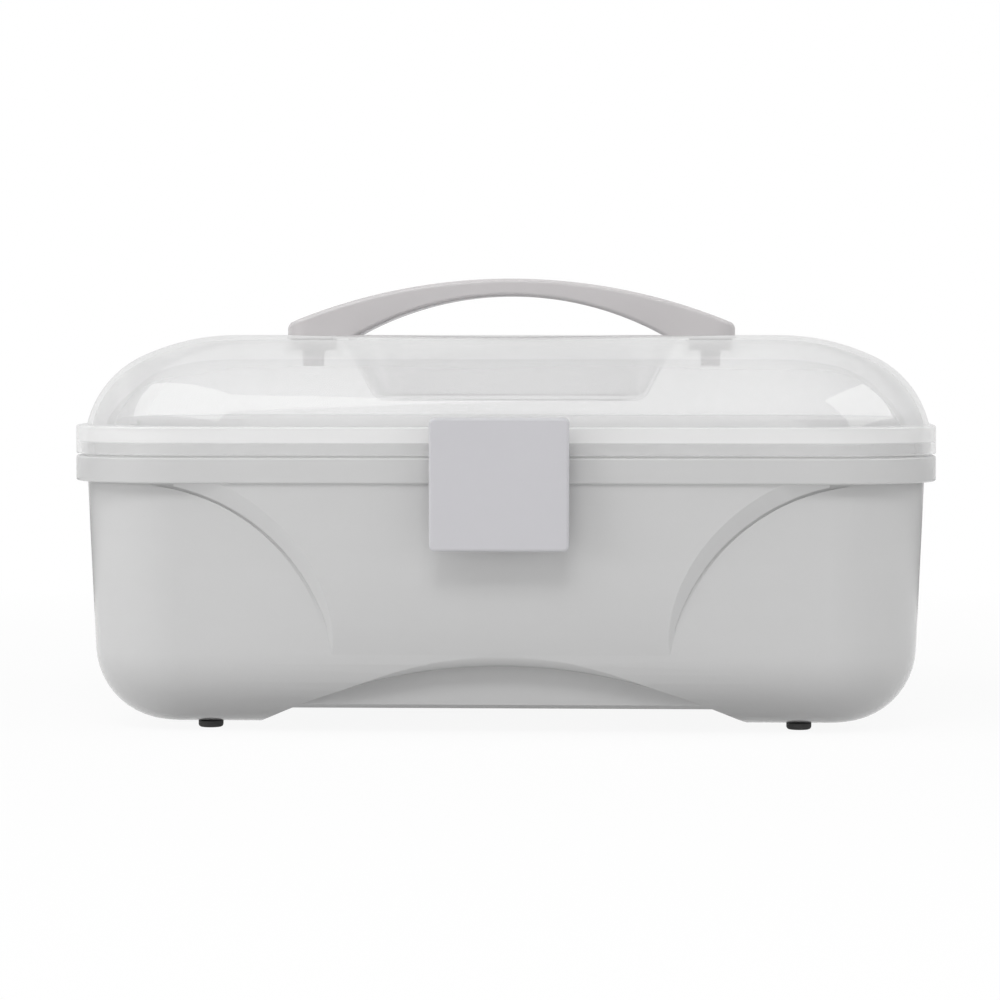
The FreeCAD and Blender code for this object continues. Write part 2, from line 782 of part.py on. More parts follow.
def main():
    os.makedirs("parts", exist_ok=True)
    export(base_tub(), "base_tub")
    for name, place in foot_places().items():
        export(rubber_foot(place), "foot_" + name)
    export(lid(), "lid")
    for side, name in zip(SIDES, ("left", "right")):
        export(hinge_pin(side), "hinge_pin_" + name)
        export(tray_divider(side), "tray_divider_" + name)
    export(handle(), "handle")
    export(latch(), "latch")
    export(latch_pin(), "latch_pin")
    export(inner_tray(), "inner_tray")


main()
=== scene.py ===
"""Household medicine box: the visible pieces and their finishes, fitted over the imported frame."""
import logging
import math
from dataclasses import dataclass, field
from enum import Enum
from itertools import pairwise
from typing import Callable, Iterable, Sequence

import bmesh
import bpy
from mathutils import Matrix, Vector


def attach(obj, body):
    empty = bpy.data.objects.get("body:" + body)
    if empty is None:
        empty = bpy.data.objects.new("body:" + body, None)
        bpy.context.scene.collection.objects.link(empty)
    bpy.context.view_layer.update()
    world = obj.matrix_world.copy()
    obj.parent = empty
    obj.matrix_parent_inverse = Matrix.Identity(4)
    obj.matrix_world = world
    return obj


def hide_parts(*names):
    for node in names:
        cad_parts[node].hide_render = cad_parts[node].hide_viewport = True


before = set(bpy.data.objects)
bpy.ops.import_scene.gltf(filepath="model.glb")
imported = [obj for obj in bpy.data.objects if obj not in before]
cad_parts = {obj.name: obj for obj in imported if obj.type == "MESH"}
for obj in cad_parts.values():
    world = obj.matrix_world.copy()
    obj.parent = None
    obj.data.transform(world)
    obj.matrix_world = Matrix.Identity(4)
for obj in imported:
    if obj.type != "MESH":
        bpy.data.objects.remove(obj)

log = logging.getLogger("medicine_box")

MM = 0.001
TINY = 1e-6
CORNER_STEPS = 20
SIDES = (-1, 1)

Point = tuple[float, float]
Colour = tuple[float, float, float]
Range = tuple[float, float]


# ---- Shader graphs
class Link:
    """A node socket that takes part in arithmetic."""

    def __init__(self, graph: "Graph", socket: bpy.types.NodeSocket) -> None:
        """Keeps the socket and the graph it belongs to."""
        self.graph = graph
        self.socket = socket

    def _maths(self, operation: str, first: "Link | float", second: "Link | float") -> "Link":
        """A Math node's result for two operands."""
        return self.graph.node("ShaderNodeMath", {"operation": operation}, {0: first, 1: second})

    def __add__(self, other: "Link | float") -> "Link":
        """Sum."""
        return self._maths("ADD", self, other)

    __radd__ = __add__

    def __mul__(self, other: "Link | float") -> "Link":
        """Product."""
        return self._maths("MULTIPLY", self, other)

    __rmul__ = __mul__

    def __sub__(self, other: "Link | float") -> "Link":
        """Difference."""
        return self._maths("SUBTRACT", self, other)

    def __rsub__(self, other: float) -> "Link":
        """Difference from a number."""
        return self._maths("SUBTRACT", other, self)

    def __truediv__(self, other: "Link | float") -> "Link":
        """Quotient."""
        return self._maths("DIVIDE", self, other)

    def __pow__(self, power: float) -> "Link":
        """Power."""
        return self._maths("POWER", self, power)


class Graph:
    """A material's or world's node tree, cleared for use."""

    def __init__(self, tree: bpy.types.NodeTree) -> None:
        """Clears the tree."""
        self.tree = tree
        tree.nodes.clear()

    def node(self, kind: str, settings: dict | None = None, inputs: dict | None = None, output: int | str = 0) -> Link:
        """Adds one node.

        Args:
            kind: The node's type.
            settings: Its options, set before its sockets. A ramp's stops are given as "stops".
            inputs: Values or links by socket name or number.
            output: Which output to return.

        Returns:
            The node's output as a link.
        """
        made = self.tree.nodes.new(kind)
        for key, value in (settings or {}).items():
            if key == "stops":
                self._stops(made.color_ramp, value)
            else:
                setattr(made, key, value)
        for key, value in (inputs or {}).items():
            socket = made.inputs[key]
            if isinstance(value, Link):
                self.tree.links.new(value.socket, socket)
            elif isinstance(value, tuple) and len(value) == 3 and socket.type == "RGBA":
                socket.default_value = (*value, 1.0)
            else:
                socket.default_value = value
        return Link(self, made.outputs[output] if len(made.outputs) else None)

    @staticmethod
    def _stops(ramp: bpy.types.ColorRamp, stops: Sequence[tuple[float, float]]) -> None:
        """Sets a ramp's stops as (place, grey)."""
        while len(ramp.elements) < len(stops):
            ramp.elements.new(0.5)
        for element, (place, grey) in zip(ramp.elements, stops):
            element.position = place
            element.color = (grey, grey, grey, 1.0)

    def position(self, scale: tuple[float, float, float] = (1.0, 1.0, 1.0)) -> Link:
        """Object coordinates, stretched by a scale."""
        place = self.node("ShaderNodeTexCoord", output="Object")
        return self.node("ShaderNodeMapping", {}, {"Vector": place, "Scale": scale})

    def noise(self, place: Link, scale: float, detail: float = 3.0, roughness: float = 0.5) -> Link:
        """Noise between 0 and 1 at a place."""
        sockets = {"Vector": place, "Scale": scale, "Detail": detail, "Roughness": roughness}
        return self.node("ShaderNodeTexNoise", {}, sockets)

    def ramp(self, value: Link, stops: Sequence[tuple[float, float]]) -> Link:
        """A value sent through a ramp of greys."""
        return self.node("ShaderNodeValToRGB", {"stops": stops}, {"Fac": value})

    def mix(self, factor: Link | float, first: "Link | Colour", second: "Link | Colour") -> Link:
        """Two colours mixed by a factor."""
        made = self.tree.nodes.new("ShaderNodeMix")
        made.data_type = "RGBA"
        colours = [socket for socket in made.inputs if socket.type == "RGBA"]
        for socket, value in zip([made.inputs[0], *colours], (factor, first, second)):
            if isinstance(value, Link):
                self.tree.links.new(value.socket, socket)
            elif isinstance(value, tuple):
                socket.default_value = (*value, 1.0)
            else:
                socket.default_value = value
        return Link(self, next(out for out in made.outputs if out.type == "RGBA"))

    def bump(self, height: Link, depth: float) -> Link:
        """A normal that stands off by a height, over a depth in metres."""
        return self.node("ShaderNodeBump", {}, {"Height": height, "Distance": depth, "Strength": 1.0})

    def surface(self, shader: Link) -> None:
        """Sends a shader to the material's output."""
        self.node("ShaderNodeOutputMaterial", {}, {"Surface": shader})


class Sheen(Enum):
    """How glossy a moulded plastic is, as (roughness, coat)."""

    GLOSS = (0.16, 0.0)
    SATIN = (0.34, 0.0)
    MATTE = (0.52, 0.0)


def shade(colour: Colour, factor: float) -> Colour:
    """A colour made lighter or darker by a factor."""
    return tuple(min(1.0, part * factor) for part in colour)


@dataclass(frozen=True)
class Plastic:
    """Opaque moulded plastic: clouding in its colour, a fine skin and handling scuffs."""

    name: str
    colour: Colour
    sheen: Sheen
    clouding: float = 0.03
    speck: float = 0.02
    skin_depth: float = 0.00003
    scuff_reach: float = 0.10

    def material(self) -> bpy.types.Material:
        """Builds the material.

        Returns:
            The finished material.
        """
        made = bpy.data.materials.new(self.name)
        made.use_nodes = True
        graph = Graph(made.node_tree)
        place = graph.position()
        cloud = graph.noise(place, 14.0, 4.0, 0.55)
        flow = graph.noise(graph.position((4.0, 4.0, 40.0)), 2.2, 3.0)
        dust = graph.noise(place, 900.0, 2.0)
        scuff = graph.ramp(graph.noise(graph.position((700.0, 60.0, 90.0)), 1.0, 6.0, 0.7), [(0.60, 0.0), (0.78, 1.0)])
        patch = graph.ramp(graph.noise(place, 22.0, 3.0), [(0.48, 0.0), (0.66, 1.0)])
        marks = scuff * patch
        tint = cloud * 0.6 + flow * 0.4
        base = graph.mix(tint, shade(self.colour, 1 - self.clouding), shade(self.colour, 1 + self.clouding))
        base = graph.mix(dust * self.speck, base, shade(self.colour, 0.6))
        base = graph.mix(marks * 0.10, base, shade(self.colour, 1.15))
        rough, coat = self.sheen.value
        roughness = rough - 0.03 + cloud * 0.06 + dust * 0.03 + marks * self.scuff_reach
        skin = graph.noise(place, 420.0, 3.0, 0.6) * 0.7 + dust * 0.2 + marks * 0.1
        shader = graph.node(
            "ShaderNodeBsdfPrincipled",
            {},
            {
                "Base Color": base,
                "Roughness": roughness,
                "IOR": 1.49,
                "Coat Weight": coat,
                "Normal": graph.bump(skin, self.skin_depth),
            },
        )
        graph.surface(shader)
        return made


@dataclass(frozen=True)
class MilkyPlastic:
    """Clear plastic with a milky haze, thicker to the eye where it is seen edge on, under a glossy skin."""

    name: str
    colour: Colour
    haze: float = 0.24
    edge_haze: float = 0.46
    roughness: float = 0.06
    flange_haze: float = 0.62
    flange_heights: Range = (0.1100, 0.1166)
    skin_depth: float = 0.000004

    def material(self) -> bpy.types.Material:
        """Builds the material.

        Returns:
            The finished material.
        """
        made = bpy.data.materials.new(self.name)
        made.use_nodes = True
        graph = Graph(made.node_tree)
        place = graph.position()
        cloud = graph.noise(place, 16.0, 4.0, 0.55)
        dust = graph.noise(place, 1100.0, 2.0)
        hairs = graph.ramp(graph.noise(graph.position((60.0, 900.0, 90.0)), 1.0, 6.0, 0.7), [(0.62, 0.0), (0.8, 1.0)])
        base = graph.mix(cloud, shade(self.colour, 0.97), shade(self.colour, 1.02))
        base = graph.mix(dust * 0.04, base, shade(self.colour, 0.7))
        facing = graph.node("ShaderNodeLayerWeight", {}, {"Blend": 0.42}, "Facing")
        shadow = Link(graph, graph.node("ShaderNodeLightPath").socket.node.outputs["Is Shadow Ray"])
        haze = self.haze + (facing ** 2.0) * (self.edge_haze - self.haze) + (cloud - 0.5) * 0.06 + hairs * 0.005
        low, high = self.flange_heights
        height = graph.node("ShaderNodeSeparateXYZ", {}, {0: place}, "Z")
        above = graph.node("ShaderNodeMapRange", {}, {"Value": height, "From Min": low, "From Max": low + 0.0006})
        below = graph.node("ShaderNodeMapRange", {}, {"Value": height, "From Min": high, "From Max": high - 0.0006})
        haze = haze + above * below * (self.flange_haze - haze)
        oval = graph.node("ShaderNodeVectorMath", {"operation": "LENGTH"}, {0: graph.position((9.0, 18.0, 0.0))}, "Value")
        inner = graph.node("ShaderNodeMapRange", {}, {"Value": oval, "From Min": 1.1, "From Max": 0.95})
        deep = graph.node("ShaderNodeMapRange", {}, {"Value": height, "From Min": 0.149, "From Max": 0.147})
        haze = haze * (1 - inner * deep * 0.5)
        haze = haze * (1 - shadow * 0.7)
        skin = graph.bump(graph.noise(place, 90.0, 2.0, 0.5) * 0.96 + hairs * 0.04, self.skin_depth)
        milk = graph.node(
            "ShaderNodeBsdfPrincipled",
            {},
            {"Base Color": base, "Roughness": 0.6, "Specular IOR Level": 0.0, "Normal": skin},
        )
        clear = graph.node("ShaderNodeBsdfTransparent", {}, {"Color": (0.99, 0.99, 0.99)})
        body = graph.node("ShaderNodeMixShader", {}, {0: haze, 1: clear, 2: milk})
        rough = self.roughness + cloud * 0.03 + hairs * 0.02
        gloss = graph.node("ShaderNodeBsdfGlossy", {}, {"Color": (1.0, 1.0, 1.0), "Roughness": rough, "Normal": skin})
        inside = Link(graph, graph.node("ShaderNodeNewGeometry").socket.node.outputs["Backfacing"])
        mirror = graph.node("ShaderNodeFresnel", {}, {"IOR": 1.5, "Normal": skin}) * (1 - shadow) * (1 - inside)
        graph.surface(graph.node("ShaderNodeMixShader", {}, {0: mirror, 1: body, 2: gloss}))
        return made


@dataclass(frozen=True)
class Rubber:
    """Soft dark rubber with a fine grain and pale dust."""

    name: str
    colour: Colour

    def material(self) -> bpy.types.Material:
        """Builds the material.

        Returns:
            The finished material.
        """
        made = bpy.data.materials.new(self.name)
        made.use_nodes = True
        graph = Graph(made.node_tree)
        place = graph.position()
        grain = graph.noise(place, 1500.0, 3.0)
        dust = graph.ramp(graph.noise(place, 260.0, 4.0, 0.6), [(0.5, 0.0), (0.75, 1.0)])
        base = graph.mix(grain, shade(self.colour, 0.8), shade(self.colour, 1.3))
        base = graph.mix(dust * 0.15, base, (0.30, 0.29, 0.28))
        shader = graph.node(
            "ShaderNodeBsdfPrincipled",
            {},
            {
                "Base Color": base,
                "Roughness": 0.68 + grain * 0.2,
                "Normal": graph.bump(grain, 0.00005),
            },
        )
        graph.surface(shader)
        return made


@dataclass(frozen=True)
class BrushedSteel:
    """Drawn steel wire, with fine lines along its length."""

    name: str
    colour: Colour

    def material(self) -> bpy.types.Material:
        """Builds the material.

        Returns:
            The finished material.
        """
        made = bpy.data.materials.new(self.name)
        made.use_nodes = True
        graph = Graph(made.node_tree)
        lines = graph.noise(graph.position((20.0, 2600.0, 2600.0)), 1.0, 4.0, 0.6)
        blotch = graph.noise(graph.position(), 180.0, 3.0)
        base = graph.mix(lines, shade(self.colour, 0.82), shade(self.colour, 1.12))
        shader = graph.node(
            "ShaderNodeBsdfPrincipled",
            {},
            {
                "Base Color": base,
                "Metallic": 1.0,
                "Roughness": 0.22 + lines * 0.16 + blotch * 0.06,
                "Normal": graph.bump(lines, 0.00001),
            },
        )
        graph.surface(shader)
        return made


# ---- Modelling moves
def rounded(corners: Iterable[tuple[float, ...]]) -> list[Point]:
    """A path whose corners are rounded.

    Args:
        corners: (inset, height) or (inset, height, radius) in millimetres.

    Returns:
        The path's points, with each rounded corner as a short run of chords.
    """
    given = [(*corner, 0.0)[:3] for corner in corners]
    path: list[Point] = []
    for number, (inset, height, radius) in enumerate(given):
        here = Vector((inset, height))
        if radius <= 0 or number in (0, len(given) - 1):
            path.append((inset, height))
            continue
        back = (Vector(given[number - 1][:2]) - here).normalized()
        ahead = (Vector(given[number + 1][:2]) - here).normalized()
        opening = back.angle(ahead)
        turn = math.pi - opening
        centre = here + (back + ahead).normalized() * radius / math.sin(opening / 2)
        first = here + back * radius / math.tan(opening / 2) - centre
        last = here + ahead * radius / math.tan(opening / 2) - centre
        steps = max(2, math.ceil(turn / math.radians(16)))
        for step in range(steps + 1):
            share = step / steps
            arm = (first * math.sin((1 - share) * turn) + last * math.sin(share * turn)) / math.sin(turn)
            path.append(tuple(centre + arm))
    return path


def deselect() -> None:
    """Leaves edit mode and drops the selection."""
    if bpy.context.object and bpy.context.object.mode != "OBJECT":
        bpy.ops.object.mode_set(mode="OBJECT")
    bpy.ops.object.select_all(action="DESELECT")


class Form:
    """One mesh, shaped by hand moves. All sizes are in millimetres."""

    def __init__(self, obj: bpy.types.Object, name: str) -> None:
        """Takes over a new primitive and names it."""
        self.obj = obj
        obj.name = name
        obj.data.name = name

    # Starting pieces.
    @classmethod
    def sheet(cls, name: str, half_length: float, half_width: float, corner: float, height: float) -> "Form":
        """A level face with round corners, ready to be carried along a path.

        Args:
            name: The piece's name.
            half_length: Half its size along X.
            half_width: Half its size along Y.
            corner: The corners' radius.
            height: Its height.

        Returns:
            The form, in edit mode with the face selected.
        """
        deselect()
        bpy.ops.mesh.primitive_plane_add(size=2, location=(0, 0, height * MM))
        form = cls(bpy.context.object, name)
        form.obj.scale = (half_length * MM, half_width * MM, 1)
        bpy.ops.object.transform_apply(location=True, rotation=True, scale=True)
        form.edit()
        bpy.ops.mesh.select_all(action="SELECT")
        bpy.ops.mesh.bevel(offset=corner * MM, segments=CORNER_STEPS, affect="VERTICES", clamp_overlap=False)
        bpy.ops.mesh.select_mode(type="FACE")
        bpy.ops.mesh.select_all(action="SELECT")
        return form

    @classmethod
    def disc(cls, name: str, radius: float, height: float, sides: int) -> "Form":
        """A level round face, ready to be carried along a path."""
        deselect()
        bpy.ops.mesh.primitive_circle_add(
            vertices=sides, radius=radius * MM, fill_type="NGON", location=(0, 0, height * MM)
        )
        form = cls(bpy.context.object, name)
        bpy.ops.object.transform_apply(location=True, rotation=True, scale=True)
        form.edit()
        bpy.ops.mesh.select_mode(type="FACE")
        bpy.ops.mesh.select_all(action="SELECT")
        return form

    @classmethod
    def box(cls, name: str, x: Range, y: Range, z: Range) -> "Form":
        """A block between the given limits."""
        deselect()
        spans = [sorted(pair) for pair in (x, y, z)]
        middle = [(low + high) / 2 * MM for low, high in spans]
        bpy.ops.mesh.primitive_cube_add(size=1, location=middle)
        form = cls(bpy.context.object, name)
        form.obj.scale = [(high - low) * MM for low, high in spans]
        bpy.ops.object.transform_apply(location=True, rotation=True, scale=True)
        return form

    @classmethod
    def rod(cls, name: str, y: float, z: float, radius: float, x: Range, soft: float = 0.0, sides: int = 48) -> "Form":
        """A round rod along X, its end edges rounded by a soft radius."""
        low, high = sorted(x)
        path = rounded([(0, low), (0, high, soft), (radius * 0.6, high)])
        if soft:
            middle = (low + high) / 2
            upper = cls.disc(name, radius, middle, sides).follow(rounded([(0, middle), (0, high, soft), (radius * 0.6, high)]))
            lower = cls.disc(name + "_end", radius, middle, sides).follow(rounded([(0, middle), (0, low, soft), (radius * 0.6, low)]))
            form = upper.weld(lower)
        else:
            form = cls.disc(name, radius, low, sides).follow(path[:2]).close()
        return form.turn("X").shift(0, y, z)

    # Edit-mode moves.
    def edit(self) -> "Form":
        """Opens the form alone in edit mode."""
        if bpy.context.object is not self.obj or self.obj.mode != "EDIT":
            deselect()
            bpy.context.view_layer.objects.active = self.obj
            self.obj.select_set(True)
            bpy.ops.object.mode_set(mode="EDIT")
        return self

    def follow(self, path: Sequence[Point]) -> "Form":
        """Carries the selected face along a path by insets and extrusions.

        Args:
            path: (inset, height) points, never moving outwards.

        Returns:
            The form, with the face at the path's end selected.
        """
        self.edit()
        for (inset, height), (next_inset, next_height) in pairwise(path):
            step = next_inset - inset
            rise = next_height - height
            if abs(step) < TINY and abs(rise) < TINY:
                continue
            if step < 1e-4:
                bpy.ops.mesh.extrude_region_move(TRANSFORM_OT_translate={"value": (0, 0, rise * MM)})
            else:
                mesh = bmesh.from_edit_mesh(self.obj.data)
                facing = next(face for face in mesh.faces if face.select).normal.z
                depth = math.copysign(rise, rise * facing) * MM
                bpy.ops.mesh.inset(thickness=step * MM, depth=depth, use_even_offset=True)
        return self

    def close(self) -> "Form":
        """Fills what is open and turns all faces outwards."""
        self.edit()
        bpy.ops.mesh.select_mode(type="EDGE")
        bpy.ops.mesh.select_all(action="SELECT")
        bpy.ops.mesh.remove_doubles(threshold=2e-6)
        bpy.ops.mesh.select_all(action="DESELECT")
        bpy.ops.mesh.select_non_manifold()
        if self._open_edges():
            bpy.ops.mesh.edge_face_add()
        bpy.ops.mesh.select_all(action="SELECT")
        bpy.ops.mesh.normals_make_consistent(inside=False)
        deselect()
        return self

    def _open_edges(self) -> bool:
        """Whether any edge has a single face."""
        mesh = bmesh.from_edit_mesh(self.obj.data)
        return any(len(edge.link_faces) == 1 for edge in mesh.edges)

    def weld(self, other: "Form") -> "Form":
        """Joins another form whose open loop lies on this one's."""
        deselect()
        other.obj.select_set(True)
        self.obj.select_set(True)
        bpy.context.view_layer.objects.active = self.obj
        bpy.ops.object.join()
        self.edit()
        bpy.ops.mesh.select_mode(type="VERT")
        bpy.ops.mesh.select_all(action="SELECT")
        bpy.ops.mesh.remove_doubles(threshold=5e-6)
        bpy.ops.mesh.select_all(action="DESELECT")
        bpy.ops.mesh.select_mode(type="FACE")
        bpy.ops.mesh.select_interior_faces()
        bpy.ops.mesh.delete(type="FACE")
        bpy.ops.mesh.select_all(action="SELECT")
        bpy.ops.mesh.normals_make_consistent(inside=False)
        deselect()
        return self

    def slice(self, at: tuple[float, float, float], away: tuple[float, float, float]) -> "Form":
        """Cuts off all that lies beyond a plane and closes the cut.

        Args:
            at: A point of the plane.
            away: Direction of the side that goes.

        Returns:
            The form.
        """
        self.edit()
        bpy.ops.mesh.select_mode(type="FACE")
        bpy.ops.mesh.select_all(action="SELECT")
        place = [part * MM for part in at]
        normal = Vector(away).normalized()
        bpy.ops.mesh.bisect(plane_co=place, plane_no=normal, use_fill=True, clear_outer=True, threshold=1e-7)
        deselect()
        return self

    def soften(
        self, width: float, steps: int, wanted: Callable[[bmesh.types.BMEdge], bool], clamp: bool = True
    ) -> "Form":
        """Rounds the edges that a test picks.

        Args:
            width: The round's width.
            steps: Facets across the round.
            wanted: Test on an edge.
            clamp: Whether short edges nearby hold the width back.

        Returns:
            The form.
        """
        self.edit()
        bpy.ops.mesh.select_mode(type="EDGE")
        bpy.ops.mesh.select_all(action="DESELECT")
        mesh = bmesh.from_edit_mesh(self.obj.data)
        for edge in mesh.edges:
            edge.select_set(bool(wanted(edge)))
        bmesh.update_edit_mesh(self.obj.data)
        bpy.ops.mesh.bevel(offset=width * MM, segments=steps, affect="EDGES", clamp_overlap=clamp)
        deselect()
        return self

    # Object-mode moves.
    def _apply(self) -> "Form":
        """Puts the object's turn and place into its mesh."""
        bpy.context.view_layer.objects.active = self.obj
        self.obj.select_set(True)
        bpy.ops.object.transform_apply(location=True, rotation=True, scale=True)
        deselect()
        return self

    def turn(self, axis: str) -> "Form":
        """Lays an upright form along X, Y or -Y."""
        angles = {"X": (0, 90, 0), "Y": (-90, 0, 0), "-Y": (90, 0, 0)}
        deselect()
        self.obj.rotation_euler = [math.radians(angle) for angle in angles[axis]]
        return self._apply()

    def tilt(self, angle: float) -> "Form":
        """Turns the form about X by an angle in degrees."""
        deselect()
        self.obj.rotation_euler = (math.radians(angle), 0, 0)
        return self._apply()

    def shift(self, x: float, y: float, z: float) -> "Form":
        """Moves the form."""
        deselect()
        self.obj.location = (x * MM, y * MM, z * MM)
        return self._apply()

    def copy(self, name: str) -> "Form":
        """A copy with its own mesh."""
        deselect()
        twin = self.obj.copy()
        twin.data = self.obj.data.copy()
        bpy.context.collection.objects.link(twin)
        return Form(twin, name)

    def mirrored(self, name: str, x: int = 1, y: int = 1) -> "Form":
        """A mirrored copy, its faces turned outwards."""
        twin = self.copy(name)
        twin.obj.scale = (x, y, 1)
        twin._apply()
        return twin.close()

    def _boolean(self, operation: str, others: Sequence["Form"]) -> "Form":
        """Applies Boolean modifiers one by one and removes the tools."""
        deselect()
        bpy.context.view_layer.objects.active = self.obj
        for other in others:
            modifier = self.obj.modifiers.new("shape", "BOOLEAN")
            modifier.operation = operation
            modifier.solver = "EXACT"
            modifier.object = other.obj
            bpy.ops.object.modifier_apply(modifier=modifier.name)
            bpy.data.objects.remove(other.obj)
        return self

    def add(self, *others: "Form") -> "Form":
        """Fuses other forms into this one."""
        return self._boolean("UNION", others)

    def cut(self, *others: "Form") -> "Form":
        """Takes other forms away from this one."""
        return self._boolean("DIFFERENCE", others)

    def keep(self, other: "Form") -> "Form":
        """Keeps only what lies inside another form."""
        return self._boolean("INTERSECT", [other])

    def finish(self, angle: float = 32.0) -> "Form":
        """Merges stray points, smooths the shading and weighs the normals by face size."""
        self.edit()
        bpy.ops.mesh.select_mode(type="VERT")
        bpy.ops.mesh.select_all(action="SELECT")
        bpy.ops.mesh.remove_doubles(threshold=2e-6)
        bpy.ops.mesh.dissolve_degenerate(threshold=1e-6)
        deselect()
        bpy.context.view_layer.objects.active = self.obj
        self.obj.select_set(True)
        bpy.ops.object.shade_smooth_by_angle(angle=math.radians(angle))
        modifier = self.obj.modifiers.new("normals", "WEIGHTED_NORMAL")
        modifier.keep_sharp = True
        modifier.weight = 50
        bpy.ops.object.modifier_apply(modifier=modifier.name)
        deselect()
        return self


def dress(form: Form, material: bpy.types.Material, body: str, slot: str, *nodes: str) -> None:
    """Gives a finished form its material and body.

    Args:
        form: The finished form.
        material: Its finish.
        body: The body it rides on.
        slot: Not used.
        nodes: CAD nodes that it stands for.
    """
    form.obj.name = f"{nodes[0]}_shape"
    form.obj.data.name = form.obj.name
    form.obj.data.materials.clear()
    form.obj.data.materials.append(material)
    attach(form.obj, body)
    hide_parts(*nodes)
    faces = len(form.obj.data.polygons)
    log.info("%s: %d faces on body %s", form.obj.name, faces, body)


# ---- Sizes shared by the pieces
@dataclass
class Rim:
    """Plan of the rim and the heights that tub and lid share, in millimetres."""

    half_length: float = 165.0
    half_width: float = 110.0
    corner: float = 42.0
    band_bottom: float = 95.1
    band_top: float = 104.8
    lip_top: float = 110.8
    flange_top: float = 116.4
    lid_top: float = 150.7
    lip_inset: float = 2.9
    lip_wall: float = 2.2
    hinge_y: float = 114.2
    hinge_z: float = 105.2
    hinge_x: float = 95.0
    hinge_radius: float = 3.8
    hinge_pin_radius: float = 1.5
    knuckle_width: float = 12.0
    knuckle_gap: float = 0.4
    latch_y: float = -113.2
    latch_z: float = 115.3
    latch_pin_radius: float = 1.2
    latch_lug_x: float = 16.5
    latch_lug_width: float = 4.5

    def form(self, name: str, inset: float, height: float) -> Form:
        """A level face that follows the rim at an inset."""
        return Form.sheet(name, self.half_length - inset, self.half_width - inset, self.corner - inset, height)

    def solid(self, name: str, path: Sequence[Point]) -> Form:
        """A closed solid whose side follows a path of (inset, height) points."""
        inset, height = path[0]
        return self.form(name, inset, height).follow(path).close()


